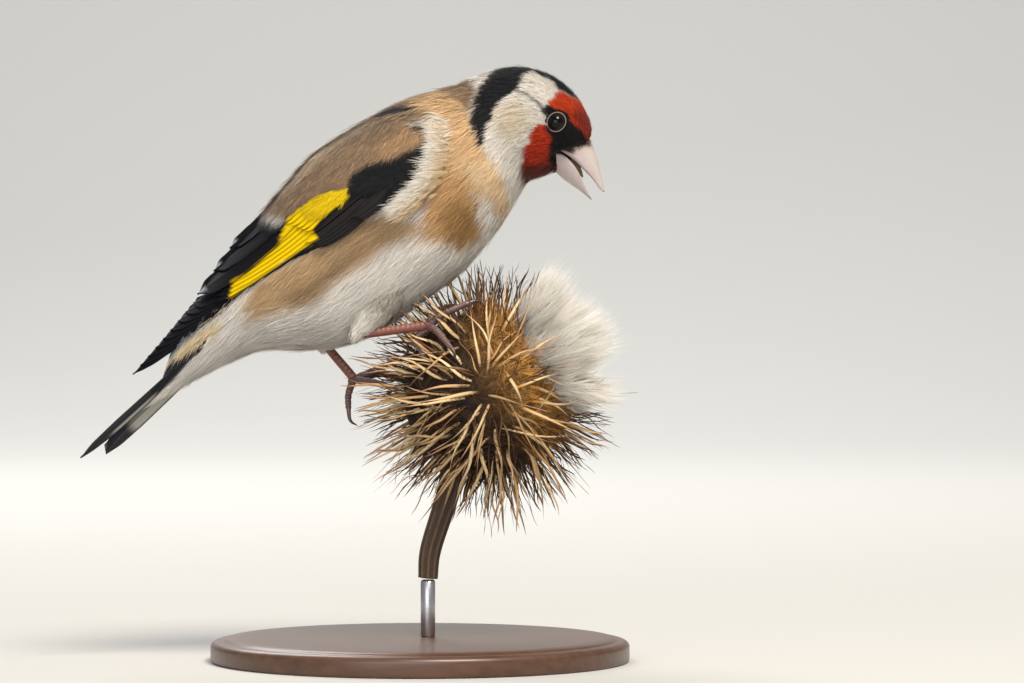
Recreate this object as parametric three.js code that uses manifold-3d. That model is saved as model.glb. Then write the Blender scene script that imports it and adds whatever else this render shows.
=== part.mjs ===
// European goldfinch on a thistle seed head, life size, in millimetres, +Z up.
// The bird faces +X, its right side is towards -Y, and the origin is the centre of the stand's underside.
import * as THREE from "three";
import { mergeVertices } from "three/addons/utils/BufferGeometryUtils.js";
import Module from "manifold-3d";

const wasm = await Module();
wasm.setup();

// Driving sizes
const GAP = 0.3; // between touching pieces
const AROUND = 24; // points in a ring of the body
const BODY_RINGS = 40;
const SIDES = { left: 1, right: -1 };

// Trunk, neck and head, from the tail root to the face: [back x, back z, belly x, belly z, half width]
const TRUNK = [
  [-50.8, 59.7, -50.8, 55.1, 4.1],
  [-47.1, 65.2, -45.5, 58.2, 5.5],
  [-43.0, 71.3, -39.4, 61.3, 7.4],
  [-37.9, 79.1, -32.4, 64.0, 9.8],
  [-32.4, 87.3, -24.2, 64.0, 12.5],
  [-26.6, 95.7, -15.4, 64.8, 13.9],
  [-20.9, 102.7, -6.6, 68.9, 14.9],
  [-14.8, 108.2, 1.0, 74.2, 15.4],
  [-8.2, 112.6, 7.8, 79.1, 15.4],
  [-2.5, 115.2, 12.9, 84.7, 14.8],
  [2.9, 116.8, 17.0, 90.2, 13.5],
  [7.2, 118.1, 19.9, 95.0, 12.0],
  [11.1, 119.7, 21.5, 97.6, 10.5],
  [15.0, 121.1, 22.5, 98.6, 9.5],
  [19.5, 121.8, 24.0, 99.1, 9.1],
  [24.2, 121.1, 25.6, 99.6, 8.6],
  [28.5, 119.1, 26.6, 100.0, 7.7],
  [32.0, 115.8, 27.3, 100.2, 6.6],
  [34.0, 112.5, 27.7, 100.4, 5.4],
  [35.1, 109.3, 28.1, 100.6, 4.4],
  [34.6, 106.6, 28.7, 100.7, 3.6],
];
const TAIL_END = [-53.7, 54.9];
const FACE_END = [31.6, 103.7];
const TAIL_WAY = new THREE.Vector3(-0.9, 0, -0.5);
const FACE_WAY = new THREE.Vector3(0.6, 0, -0.9);

// Where the body is parted: [upper x, upper z, lower x, lower z] of each cutting line
const RUMP_CUT = [-35.2, 83.2, -28.2, 64.0];
const NECK_CUT = [2.9, 116.8, 17.0, 90.2];
const HEAD_CUT = [15.0, 121.1, 22.9, 98.6];

// Head
const EYE = { x: 27.9, y: 5.9, z: 110.5, radius: 2.1 };
const LID = { ring: 2.05, thick: 0.45, out: 1.25 };

// Bill: [ridge x, ridge z, edge x, edge z, half width] from the root to the tip
const UPPER_BILL = [
  [32.6, 108.4, 26.6, 105.6, 3.3],
  [34.6, 106.7, 29.1, 104.8, 3.3],
  [35.4, 105.0, 31.6, 103.0, 2.9],
  [36.2, 102.7, 33.4, 101.3, 2.3],
  [36.9, 100.0, 35.2, 99.4, 1.5],
  [37.5, 97.6, 36.7, 97.4, 0.7],
];
const UPPER_TIP = [37.8, 96.3];
const LOWER_BILL = [
  [26.0, 103.4, 25.4, 102.0, 3.1],
  [29.3, 103.7, 27.6, 101.2, 3.1],
  [31.2, 102.3, 29.6, 99.4, 2.9],
  [32.3, 100.3, 31.4, 98.0, 2.3],
  [33.2, 98.2, 32.9, 96.7, 1.5],
  [34.2, 96.2, 34.2, 95.6, 0.8],
];
const LOWER_TIP = [35.4, 94.4];
const NOSTRIL = { x: 33.9, y: 1.9, z: 105.9, radius: 0.5 };

// Folded wing, in its own frame: s runs from the shoulder to the tip, h towards the back
const WING = { x: 3.3, z: 109.9, pitch: 39.5, length: 81 };
// [s, back height, keel height, half width] of the rounded form that both folded wings lie on
const WING_FORM = [
  [0, 2.0, -21, 13.6],
  [8, 7.0, -25, 15.6],
  [16, 8.3, -26.5, 16.2],
  [24, 8.2, -26.5, 15.8],
  [32, 6.7, -25, 14.4],
  [40, 5.3, -21.5, 12.4],
  [48, 4.2, -17, 10.2],
  [56, 2.8, -12, 8.2],
  [64, 2.3, -9, 6.6],
  [72, 2.2, -7, 4.8],
  [81, 1.3, -5, 2.6],
];
// [s, upper edge height, lower edge height] of the arm that the wing's feathers grow from
const WING_ARM = [
  [0.0, 3.2, -0.8],
  [4, 6.6, -2.6],
  [9, 8.3, -3.8],
  [16, 9.2, -4.8],
  [23, 8.8, -5.2],
  [30, 7.6, -4.8],
  [37, 6.2, -3.6],
  [42, 5.2, -2.4],
];
const ARM = { lift: 0.9, half: 0.55 };
const VANE_HALF = 0.27; // half of a vane's thickness
const SHINGLE = 0.3; // how far a vane's lower edge stands up over the next vane
// Rows of feathers: root, middle and tip as [s, h] of the first and then of the last feather,
// with the half width and the lift above the form of the first and of the last
const FEATHER_ROWS = [
  { name: "primaries", count: 7,
    root: [29, -4.4, 31.5, -2.4], middle: [57, -0.9, 56, 1.5], tip: [80.3, 0.8, 61.5, 3.2],
    half: [1.5, 1.5], lift: [0.0, 1.5] },
  { name: "secondaries", count: 4,
    root: [25, -2.9, 28, 1.6], middle: [42, -1.6, 42, 2.0], tip: [57.5, 0.4, 52.5, 3.1],
    half: [1.35, 1.5], lift: [1.75, 2.05] },
  { name: "tertials", count: 3,
    root: [26, 3.6, 25, 7.0], middle: [45, 2.7, 38, 6.9], tip: [59, 3.5, 46, 6.9],
    half: [2.2, 1.5], lift: [2.35, 2.5] },
  { name: "primary coverts", count: 2,
    root: [17, -4.2, 18, -2.6], middle: [27, -4.8, 27, -3.0], tip: [33, -4.8, 35.5, -2.8],
    half: [1.25, 1.25], lift: [1.9, 2.1] },
  { name: "greater coverts", count: 5,
    root: [17, -1.6, 19, 4.8], middle: [26, -1.4, 29, 4.8], tip: [33.4, -1.5, 37.2, 4.0],
    half: [1.05, 1.2], lift: [2.35, 2.65] },
  { name: "median coverts", count: 4,
    root: [8, -3.4, 9, 4.6], middle: [15.5, -3.4, 16.5, 4.2], tip: [21, -3.6, 23, 3.6],
    half: [1.5, 1.65], lift: [2.45, 2.7] },
  { name: "lesser coverts", count: 3,
    root: [2, -0.4, 3, 5.4], middle: [7, -2.0, 9, 6.4], tip: [12.5, -2.6, 15, 6.4],
    half: [1.8, 1.9], lift: [2.5, 2.7] },
  { name: "scapulars", count: 3,
    root: [14, 6.0, 14, 8.6], middle: [25, 6.2, 25, 8.8], tip: [34, 6.0, 38, 8.4],
    half: [1.35, 1.35], lift: [2.75, 2.9] },
];
// Share of a vane's half width at places along it, from root to tip, and how deep its root is sunk
const VANE_SHAPE = [[0, 0.6], [0.4, 1], [0.82, 0.85], [1, 0.25]];
const ROOT = { length: 0.22, sunk: 1.3 };

// Tail: twelve feathers, the middle pair on top, the near edge rolled up
const TAIL = { rootX: -38, rootZ: 70.6, dipX: -0.722, dipZ: -0.692, roll: 24, pairs: 6 };
const TAIL_FEATHER = {
  inner: 37.6, outer: 42.4, innerOut: 1.0, outerOut: 5.0, rootOut: 2.2, half: 2.1, step: 0.16,
};

// Perch: a ripe thistle head on a short cut stem
const SEED_HEAD = { x: 13.5, y: 0, z: 55, radius: 17.6, lean: 56 };
const BRACT = { count: 72, width: 1.4, thick: 0.62, length: 8.6, sunk: 1.6, mouth: 56, base: 158, lean: 0.3 };
const STEM = { topRadius: 2.4, footRadius: 1.9, footX: 1.6, footZ: 17, rootLean: 24 };
const DOWN = { radius: 15, height: 10.5, root: 9 };
const TUFT = { count: 26, radius: 1.8, inner: 16.5, outer: 25.5, spread: 47 };

// Stand
const BASE = { radius: 43, height: 5, bevel: 1 };
const ROD = { radius: 1.5 };

// Legs: points as [x, y, z]
const LEGS = {
  right: {
    knee: [-3, -6.0, 78],
    heel: [-12.8, -9.6, 67.2],
    shankEnd: [0.6, -8.6, 68.9],
    ball: [1.6, -8.2, 68.6],
    toes: [
      { name: "outer", path: [[3.2, -11.6, 68.4], [5.8, -14.2, 65.6]], claw: [1.6, -1.6, -3.4] },
      { name: "middle", path: [[4.6, -8.4, 71.2], [9.4, -6.6, 73.4]], claw: [4.2, 0.6, -0.9] },
      { name: "inner", path: [[2.9, -3.4, 71.4], [5.4, 1.0, 72.6]], claw: [2.4, 3.4, -0.6] },
      { name: "hind", path: [[-0.9, -9.6, 65.4], [-1.4, -10.8, 61.6]], claw: [1.2, -1.6, -3.6] },
    ],
  },
  left: {
    knee: [-9, 6.0, 76],
    heel: [-19.6, 8.0, 64.6],
    shankEnd: [-14.4, 6.2, 58.6],
    ball: [-13.8, 6.0, 57.6],
    toes: [
      { name: "outer", path: [[-9.2, 8.4, 58.6], [-4.6, 9.2, 58.6]], claw: [3.0, 2.2, -1.6] },
      { name: "middle", path: [[-9.2, 4.6, 59.6], [-4.6, 3.2, 61.6]], claw: [2.0, 0.2, 3.2] },
      { name: "inner", path: [[-10.0, 2.6, 57.2], [-5.8, -0.6, 56.2]], claw: [0.9, -3.4, -1.0] },
      { name: "hind", path: [[-14.8, 4.6, 54.6], [-14.8, 3.6, 51.8]], claw: [1.9, -0.9, -3.6] },
    ],
  },
};
const THIGH = [3.4, 5.2, 4.4, 1.5]; // radius from the knee to the heel
const LEG = { shank: 0.85, ball: 1.25, toe: 0.85, toeTip: 0.7, clawRoot: 0.55, clawTip: 0.12 };

const COLOURS = {
  brown: [0x9a7b57, 0.85, 0],
  white: [0xd8d2c6, 0.85, 0],
  mask: [0xb23a16, 0.85, 0],
  black: [0x17161a, 0.55, 0],
  horn: [0xe4cfc2, 0.45, 0],
  eye: [0x120c0a, 0.08, 0],
  leg: [0x8a5a52, 0.6, 0],
  claw: [0x3a2c2a, 0.45, 0],
  bract: [0x9a7040, 0.8, 0],
  down: [0xe9e3d6, 0.95, 0],
  stem: [0x5f5a3e, 0.8, 0],
  wood: [0x4a3326, 0.5, 0],
  steel: [0x9a9a9c, 0.35, 1],
};

const point = (x, y, z) => new THREE.Vector3(x, y, z);
const spline = (points) => new THREE.CatmullRomCurve3(points, false, "catmullrom", 0.5);

// A closed three.js geometry as a manifold-3d solid
function solid(geometry) {
  const bare = geometry.index ? geometry.toNonIndexed() : geometry.clone();
  const only = new THREE.BufferGeometry().setAttribute("position", bare.getAttribute("position"));
  const merged = mergeVertices(only, 1e-4);
  const mesh = new wasm.Mesh({
    numProp: 3,
    vertProperties: merged.attributes.position.array,
    triVerts: new Uint32Array(merged.index.array),
  });
  return new wasm.Manifold(mesh);
}

// A manifold-3d solid's largest closed surface, as a three.js geometry
function geometryOf(body) {
  const pieces = body.decompose().sort((a, b) => b.volume() - a.volume());
  const mesh = pieces[0].getMesh();
  const positions = new Float32Array(mesh.numVert * 3);
  for (let i = 0; i < mesh.numVert; i++) {
    positions.set(mesh.vertProperties.subarray(i * mesh.numProp, i * mesh.numProp + 3), i * 3);
  }
  const geometry = new THREE.BufferGeometry();
  geometry.setAttribute("position", new THREE.BufferAttribute(positions, 3));
  geometry.setIndex(new THREE.BufferAttribute(new Uint32Array(mesh.triVerts), 1));
  geometry.computeVertexNormals();
  return geometry;
}

const join = (bodies) => wasm.Manifold.union(bodies);
const cut = (body, ...tools) => tools.reduce((left, tool) => left.subtract(tool), body);

// A closed skin over rings of equal length, with a fan to the middle of the first and last ring.
// Sides listed in turned have their diagonals the other way, so that both faces of a thin piece match.
function loft(rings, turned = []) {
  const count = rings[0].length;
  const positions = [];
  const faces = [];
  rings.forEach((ring) => ring.forEach((p) => positions.push(p.x, p.y, p.z)));
  for (let i = 0; i + 1 < rings.length; i++) {
    for (let j = 0; j < count; j++) {
      const a = i * count + j;
      const b = i * count + ((j + 1) % count);
      const c = a + count;
      const d = b + count;
      if (turned.includes(j)) faces.push(a, b, c, b, d, c);
      else faces.push(a, b, d, a, d, c);
    }
  }
  [0, rings.length - 1].forEach((end) => {
    const middle = rings[end].reduce((sum, p) => sum.add(p), point(0, 0, 0)).divideScalar(count);
    const hub = positions.length / 3;
    positions.push(middle.x, middle.y, middle.z);
    for (let j = 0; j < count; j++) {
      const a = end * count + j;
      const b = end * count + ((j + 1) % count);
      if (end) faces.push(a, b, hub);
      else faces.push(b, a, hub);
    }
  });
  const geometry = new THREE.BufferGeometry();
  geometry.setAttribute("position", new THREE.Float32BufferAttribute(positions, 3));
  geometry.setIndex(faces);
  const body = solid(geometry);
  return body.volume() < 0 ? solid(turnedOut(geometry)) : body;
}

// The same geometry with each face turned round
function turnedOut(geometry) {
  const index = Array.from(geometry.index.array);
  for (let i = 0; i < index.length; i += 3) [index[i + 1], index[i + 2]] = [index[i + 2], index[i + 1]];
  return geometry.clone().setIndex(index);
}

// A round tube along a smooth path, whose radius runs through the listed radii
function taperedTube(path, radii, sides = 8, steps = 8) {
  const curve = spline(path);
  const width = spline(radii.map((radius) => point(radius, 0, 0)));
  const rings = [];
  let side = null;
  for (let i = 0; i <= steps; i++) {
    const t = i / steps;
    const along = curve.getTangent(t);
    if (!side) side = Math.abs(along.y) < 0.9 ? point(0, 1, 0) : point(1, 0, 0);
    side = side.clone().addScaledVector(along, -side.dot(along)).normalize();
    const up = along.clone().cross(side);
    const radius = width.getPoint(t).x;
    const centre = curve.getPoint(t);
    const ring = [];
    for (let j = 0; j < sides; j++) {
      const turn = (2 * Math.PI * j) / sides;
      const spot = centre.clone().addScaledVector(side, radius * Math.cos(turn));
      ring.push(spot.addScaledVector(up, radius * Math.sin(turn)));
    }
    rings.push(ring);
  }
  return loft(rings);
}

// The same geometry with only positions, its like points merged
function solidReady(geometry) {
  const bare = geometry.clone();
  bare.deleteAttribute("normal");
  bare.deleteAttribute("uv");
  return mergeVertices(bare, 1e-4);
}

function ball(centre, radius, around = 16) {
  const sphere = new THREE.SphereGeometry(radius, around, Math.round(around * 0.7));
  sphere.translate(centre.x, centre.y, centre.z);
  return solid(sphere);
}

// The whole trunk, neck and head as one closed body, grown outwards by grow
const backLine = spline(TRUNK.map(([x, z, , , half]) => point(x, half, z)));
const bellyLine = spline(TRUNK.map(([, , x, z]) => point(x, 0, z)));

function trunkRing(t, grow) {
  const back = backLine.getPoint(t);
  const belly = bellyLine.getPoint(t);
  const half = back.y + grow;
  const middle = point((back.x + belly.x) / 2, 0, (back.z + belly.z) / 2);
  const up = point(back.x - belly.x, 0, back.z - belly.z);
  const tall = up.length() / 2 + grow;
  up.normalize();
  const ring = [];
  for (let j = 0; j < AROUND; j++) {
    const turn = (2 * Math.PI * j) / AROUND;
    const spot = middle.clone().addScaledVector(up, tall * Math.cos(turn));
    ring.push(spot.add(point(0, half * Math.sin(turn), 0)));
  }
  return ring;
}

function trunk(grow) {
  const rings = [];
  for (let i = 0; i <= BODY_RINGS; i++) rings.push(trunkRing(i / BODY_RINGS, grow));
  const shrink = (ring, [x, z], share) => ring.map((p) => p.clone().lerp(point(x, 0, z), share));
  const first = rings[0];
  const last = rings[rings.length - 1];
  const move = (ring, way) => ring.map((p) => p.clone().addScaledVector(way, grow));
  rings[0] = move(first, TAIL_WAY);
  rings[rings.length - 1] = move(last, FACE_WAY);
  rings.unshift(move(shrink(first, TAIL_END, 0.6), TAIL_WAY));
  rings.push(move(shrink(last, FACE_END, 0.35), FACE_WAY));
  return loft(rings);
}

// The half of a body on the far side of a cutting line, less half of the gap
function beyond(body, [x1, z1, x2, z2], way) {
  const normal = point(z1 - z2, 0, x2 - x1).normalize().multiplyScalar(way);
  return body.trimByPlane([normal.x, 0, normal.z], normal.x * x1 + normal.z * z1 + GAP / 2);
}

// Eyes and the ring of the lids round each
const eyeCentre = (way) => point(EYE.x, way * EYE.y, EYE.z);
const eye = (way, grow = 0) => ball(eyeCentre(way), EYE.radius + grow, 12);

function lidRing(way) {
  const ring = new THREE.TorusGeometry(LID.ring, LID.thick, 5, 13);
  ring.rotateX(Math.PI / 2);
  ring.translate(EYE.x, way * (EYE.y + LID.out), EYE.z);
  return solid(ring);
}

// A mandible: rounded on its ridge side and flat along its cutting edge
function mandible(rows, tip, grow = 0) {
  const ARC = 8;
  const ridges = spline([...rows.map(([x, z, , , half]) => point(x, half, z)), point(tip[0], 0.12, tip[1])]);
  const edges = spline([...rows.map(([, , x, z]) => point(x, 0, z)), point(tip[0] - 0.1, 0, tip[1])]);
  const rings = [];
  for (let i = 0; i <= 12; i++) {
    const ridge = ridges.getPoint(i / 12);
    const edge = edges.getPoint(i / 12);
    const half = ridge.y + grow;
    const rise = point(ridge.x - edge.x, 0, ridge.z - edge.z);
    const tall = rise.length() + grow;
    rise.normalize();
    const base = point(edge.x, 0, edge.z).addScaledVector(rise, -grow);
    const ring = [];
    for (let j = 0; j <= ARC; j++) {
      const turn = (Math.PI * j) / ARC;
      const spot = base.clone().addScaledVector(rise, (tall + grow) * Math.sin(turn) ** 0.8);
      ring.push(spot.add(point(0, half * Math.cos(turn), 0)));
    }
    rings.push(ring);
  }
  return loft(rings);
}

// The folded wing: a point at a place and height on it, lifted above its rounded form, then raised
// along the surface's own way out
const wingForm = spline(WING_FORM.map(([, back, keel, half]) => point(back, keel, half)));
const wingArm = spline(WING_ARM.map(([s, upper, lower]) => point(s, upper, lower)));
const PITCH = THREE.MathUtils.degToRad(WING.pitch);
const WING_ALONG = point(-Math.cos(PITCH), 0, -Math.sin(PITCH));
const WING_UP = point(-Math.sin(PITCH), 0, Math.cos(PITCH));

function onWing(s, h, lift, raise, way) {
  const form = wingForm.getPoint(formShare(s));
  const middle = (form.x + form.y) / 2;
  const tall = (form.x - form.y) / 2;
  const turn = Math.acos(THREE.MathUtils.clamp((h - middle) / (tall + lift), -0.99, 0.99));
  const height = middle + (tall + lift + raise) * Math.cos(turn);
  const out = (form.z + lift + raise) * Math.sin(turn);
  const spot = point(WING.x, way * out, WING.z);
  return spot.addScaledVector(WING_ALONG, s).addScaledVector(WING_UP, height);
}

// The curve parameter of the wing's form at s, whose rows are evenly spaced but for the last
function formShare(s) {
  const rows = WING_FORM.length - 1;
  const index = WING_FORM.findIndex(([at]) => at > s);
  const i = index < 0 ? rows - 1 : Math.max(0, index - 1);
  const inside = (s - WING_FORM[i][0]) / (WING_FORM[i + 1][0] - WING_FORM[i][0]);
  return THREE.MathUtils.clamp((i + inside) / rows, 0, 1);
}

function wingArmBody(way) {
  const ACROSS = 4;
  const ALONG = 8;
  const rings = [];
  for (let i = 0; i <= ALONG; i++) {
    const edge = wingArm.getPoint(i / ALONG);
    const ring = [];
    const heightAt = (j) => THREE.MathUtils.lerp(edge.y, edge.z, j / ACROSS);
    const at = (j, raise) => onWing(edge.x, heightAt(j), ARM.lift, raise, way);
    for (let j = 0; j <= ACROSS; j++) ring.push(at(j, ARM.half));
    for (let j = ACROSS; j >= 0; j--) ring.push(at(j, -ARM.half));
    rings.push(ring);
  }
  return loft(rings);
}

// One flat feather whose surface is given by place(along, across, raise)
function vane(place, half) {
  const rings = VANE_SHAPE.map(([t, share]) => {
    const across = half * share;
    const upper = [place(t, across, VANE_HALF), place(t, -across, VANE_HALF)];
    const lower = [place(t, -across, -VANE_HALF), place(t, across, -VANE_HALF)];
    return [...upper, ...lower];
  });
  return loft(rings, [2]);
}

function wingFeather(row, share, way) {
  const mix = (a, b) => THREE.MathUtils.lerp(a, b, share);
  const at = ([s0, h0, s1, h1]) => new THREE.Vector2(mix(s0, s1), mix(h0, h1));
  const line = new THREE.SplineCurve([at(row.root), at(row.middle), at(row.tip)]);
  const half = mix(...row.half);
  const lift = mix(...row.lift);
  return vane((t, across, raise) => {
    const centre = line.getPoint(t);
    const along = line.getTangent(t);
    const sunk = ROOT.sunk * Math.max(0, 1 - t / ROOT.length);
    const height = lift - Math.min(sunk, lift - ARM.lift) - SHINGLE * (across / half);
    return onWing(centre.x - along.y * across, centre.y + along.x * across, height, raise, way);
  }, half);
}

function wing(way) {
  const inRow = (row) => {
    const places = Array.from({ length: row.count }, (_, i) => i / (row.count - 1));
    return places.map((share) => wingFeather(row, share, way));
  };
  return join([wingArmBody(way), ...FEATHER_ROWS.flatMap(inRow)]);
}

// Tail: feathers fanned from one root, each pair a step lower than the one inside it
function tail() {
  const root = point(TAIL.rootX, 0, TAIL.rootZ);
  const along = point(TAIL.dipX, 0, TAIL.dipZ);
  const below = along.clone().cross(point(0, 1, 0)).normalize();
  const roll = THREE.MathUtils.degToRad(TAIL.roll);
  const across = point(0, Math.cos(roll), 0).addScaledVector(below, Math.sin(roll));
  const above = along.clone().cross(across).multiplyScalar(-1).normalize();
  const feathers = [];
  for (let pair = 0; pair < TAIL.pairs; pair++) {
    const share = pair / (TAIL.pairs - 1);
    const mix = (a, b) => THREE.MathUtils.lerp(a, b, share);
    const length = mix(TAIL_FEATHER.inner, TAIL_FEATHER.outer);
    for (const side of Object.values(SIDES)) {
      const rootOut = side * mix(0.3, TAIL_FEATHER.rootOut);
      const tipOut = side * mix(TAIL_FEATHER.innerOut, TAIL_FEATHER.outerOut);
      const drop = -TAIL_FEATHER.step * (2 * pair + (side > 0 ? 1 : 0));
      feathers.push(vane((t, wide, raise) => {
        const out = THREE.MathUtils.lerp(rootOut, tipOut, t) + wide;
        const spot = root.clone().addScaledVector(along, length * t);
        return spot.addScaledVector(across, out).addScaledVector(above, drop + raise);
      }, TAIL_FEATHER.half));
    }
  }
  return join(feathers);
}

// Perch
const seedHeadCentre = point(SEED_HEAD.x, SEED_HEAD.y, SEED_HEAD.z);
const LEAN = THREE.MathUtils.degToRad(SEED_HEAD.lean);
const seedHeadAxis = point(Math.sin(LEAN), 0, Math.cos(LEAN));

// A spot on the seed head, by the angle from its axis and the turn round it
function headWay(angle, turn) {
  const side = point(0, 1, 0);
  const rise = seedHeadAxis.clone().cross(side);
  return seedHeadAxis.clone().multiplyScalar(Math.cos(angle))
    .addScaledVector(side, Math.sin(angle) * Math.cos(turn))
    .addScaledVector(rise, Math.sin(angle) * Math.sin(turn));
}

// Spots spread evenly round the axis between two angles from it, in degrees
function spread(count, from, to) {
  const golden = Math.PI * (3 - Math.sqrt(5));
  const [high, low] = [from, to].map((degrees) => Math.cos(THREE.MathUtils.degToRad(degrees)));
  return Array.from({ length: count }, (_, i) => {
    const angle = Math.acos(THREE.MathUtils.lerp(high, low, (i + 0.5) / count));
    return { angle, turn: i * golden, vary: Math.sin(i * 2.4) };
  });
}

// A spine-tipped bract of three sides, rooted in the head and bent back from its mouth
function bract({ angle, turn, vary }) {
  const out = headWay(angle, turn);
  const back = headWay(angle + Math.PI / 2, turn);
  const side = out.clone().cross(back);
  const length = BRACT.length * (1 + 0.22 * vary);
  const at = (t) => {
    const rise = SEED_HEAD.radius - BRACT.sunk + (length + BRACT.sunk) * t;
    const bend = length * BRACT.lean * t ** 2;
    return seedHeadCentre.clone().addScaledVector(out, rise).addScaledVector(back, bend);
  };
  const rings = [[0, 1], [0.45, 0.75], [1, 0.12]].map(([t, share]) => {
    const twist = 1.1 * t * vary;
    const wide = side.clone().multiplyScalar(Math.cos(twist)).addScaledVector(back, Math.sin(twist));
    const deep = back.clone().multiplyScalar(Math.cos(twist)).addScaledVector(side, -Math.sin(twist));
    const centre = at(t);
    return [
      centre.clone().addScaledVector(wide, BRACT.width * share).addScaledVector(deep, -BRACT.thick * share),
      centre.clone().addScaledVector(wide, -BRACT.width * share).addScaledVector(deep, -BRACT.thick * share),
      centre.clone().addScaledVector(deep, BRACT.thick * share),
    ];
  });
  return loft(rings);
}

function seedHead(keepClear) {
  const bracts = spread(BRACT.count, BRACT.mouth, BRACT.base).map(bract);
  const clear = bracts.filter((one) => one.intersect(keepClear).isEmpty());
  return join([ball(seedHeadCentre, SEED_HEAD.radius, 18), ...clear]);
}

// The down: a low dome with locks that stand out of it
function downDome(grow = 0) {
  const STEPS = 5;
  const profile = [new THREE.Vector2(0, -grow)];
  for (let i = 0; i < STEPS; i++) {
    const turn = (Math.PI / 2) * (i / STEPS);
    const wide = (DOWN.radius + grow) * Math.cos(turn);
    profile.push(new THREE.Vector2(wide, (DOWN.height + grow) * Math.sin(turn)));
  }
  profile.push(new THREE.Vector2(0, DOWN.height + grow));
  const dome = new THREE.LatheGeometry(profile, 14);
  dome.rotateX(Math.PI / 2);
  dome.rotateY(LEAN);
  const root = seedHeadCentre.clone().addScaledVector(seedHeadAxis, DOWN.root);
  dome.translate(root.x, root.y, root.z);
  const body = solid(dome);
  return body.volume() < 0 ? solid(turnedOut(solidReady(dome))) : body;
}

function lock({ angle, turn, vary }) {
  const out = headWay(angle, turn);
  const aside = headWay(angle + Math.PI / 2, turn).multiplyScalar(0.14 * vary);
  const tip = TUFT.outer * (1 + 0.1 * vary);
  const at = (reach) => seedHeadCentre.clone().addScaledVector(out, reach);
  const path = [at(TUFT.inner), at((TUFT.inner + tip) / 2), at(tip).addScaledVector(aside, tip)];
  return taperedTube(path, [TUFT.radius, TUFT.radius * 0.8, 0.2], 4, 2);
}

function down(keepClear) {
  const locks = spread(TUFT.count, 0, TUFT.spread).map(lock);
  return join([downDome(), ...locks.filter((one) => one.intersect(keepClear).isEmpty())]);
}

function stem(grow = 0) {
  const foot = point(STEM.footX, 0, STEM.footZ);
  const lean = THREE.MathUtils.degToRad(STEM.rootLean);
  const way = point(Math.sin(lean), 0, Math.cos(lean));
  const root = seedHeadCentre.clone().addScaledVector(way, -SEED_HEAD.radius * 0.8);
  const bend = point(root.x - 1.6, 0, root.z - 7);
  const path = [foot, point(STEM.footX + 0.6, 0, STEM.footZ + 6), bend, root];
  return taperedTube(path, [STEM.footRadius + grow, STEM.topRadius + grow], 10, 8);
}

// Legs
const pathOf = (list) => list.map(([x, y, z]) => point(x, y, z));
const toePath = (leg, toe) => pathOf([leg.ball, ...toe.path]);

function thigh(leg, grow = 0) {
  const radii = THIGH.map((radius) => radius + grow);
  return taperedTube(pathOf([leg.knee, leg.heel]), radii, 12, 6);
}

function shank(leg, grow = 0) {
  const radius = LEG.shank + grow;
  return taperedTube(pathOf([leg.heel, leg.shankEnd]), [radius, radius], 8, 2);
}

function foot(leg, grow = 0) {
  const radii = [LEG.toe + grow, LEG.toeTip + grow];
  const toes = leg.toes.map((toe) => taperedTube(toePath(leg, toe), radii, 6, 4));
  return join([ball(point(...leg.ball), LEG.ball + grow, 8), ...toes]);
}

function claw(leg, toe, grow = 0) {
  const path = toePath(leg, toe);
  const end = path[path.length - 1];
  const along = spline(path).getTangent(1);
  const root = end.clone().addScaledVector(along, GAP);
  const reach = point(...toe.claw);
  const bend = root.clone().addScaledVector(along, reach.length() * 0.45).addScaledVector(reach, 0.2);
  const radii = [LEG.clawRoot + grow, LEG.clawTip + grow];
  return taperedTube([root, bend, end.clone().add(reach)], radii, 5, 4);
}

// The finished object
const goldfinch = new THREE.Group();

function add(name, body, [colour, roughness, metalness]) {
  const material = new THREE.MeshStandardMaterial({ color: colour, roughness, metalness });
  const mesh = new THREE.Mesh(geometryOf(body), material);
  mesh.name = name;
  goldfinch.add(mesh);
}

const whole = trunk(0);
const wholeGrown = trunk(GAP);

add("rump", beyond(whole, RUMP_CUT, -1), COLOURS.white);
add("torso", beyond(beyond(whole, RUMP_CUT, 1), NECK_CUT, -1), COLOURS.brown);
add("neck", beyond(beyond(whole, NECK_CUT, 1), HEAD_CUT, -1), COLOURS.white);
const lids = Object.values(SIDES).map(lidRing);
const eyeHoles = Object.values(SIDES).map((way) => eye(way, GAP));
add("head", cut(join([beyond(whole, HEAD_CUT, 1), ...lids]), ...eyeHoles), COLOURS.mask);

const nostrilAt = (way) => point(NOSTRIL.x, way * NOSTRIL.y, NOSTRIL.z);
const nostrils = Object.values(SIDES).map((way) => ball(nostrilAt(way), NOSTRIL.radius, 8));
add("bill_upper", cut(mandible(UPPER_BILL, UPPER_TIP), wholeGrown, ...nostrils), COLOURS.horn);
const flip = ([edgeX, edgeZ, ridgeX, ridgeZ, half]) => [ridgeX, ridgeZ, edgeX, edgeZ, half];
const lowerRows = LOWER_BILL.map(flip);
add("bill_lower", cut(mandible(lowerRows, LOWER_TIP), wholeGrown), COLOURS.horn);
add("tail", cut(tail(), wholeGrown), COLOURS.black);

function legPartsOf(leg) {
  const claws = leg.toes.map((toe) => claw(leg, toe, GAP));
  return [thigh(leg, GAP), shank(leg, GAP), foot(leg, GAP), ...claws];
}
const legParts = Object.values(LEGS).flatMap(legPartsOf);
for (const [side, way] of Object.entries(SIDES)) {
  const leg = LEGS[side];
  add(`eye_${side}`, eye(way), COLOURS.eye);
  add(`wing_${side}`, cut(wing(way), wholeGrown), COLOURS.black);
  add(`thigh_${side}`, cut(thigh(leg), wholeGrown), COLOURS.white);
  add(`shank_${side}`, cut(shank(leg), thigh(leg, GAP), wholeGrown, foot(leg, GAP)), COLOURS.leg);
  add(`foot_${side}`, foot(leg), COLOURS.leg);
  leg.toes.forEach((toe) => add(`claw_${side}_${toe.name}`, claw(leg, toe), COLOURS.claw));
}

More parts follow.
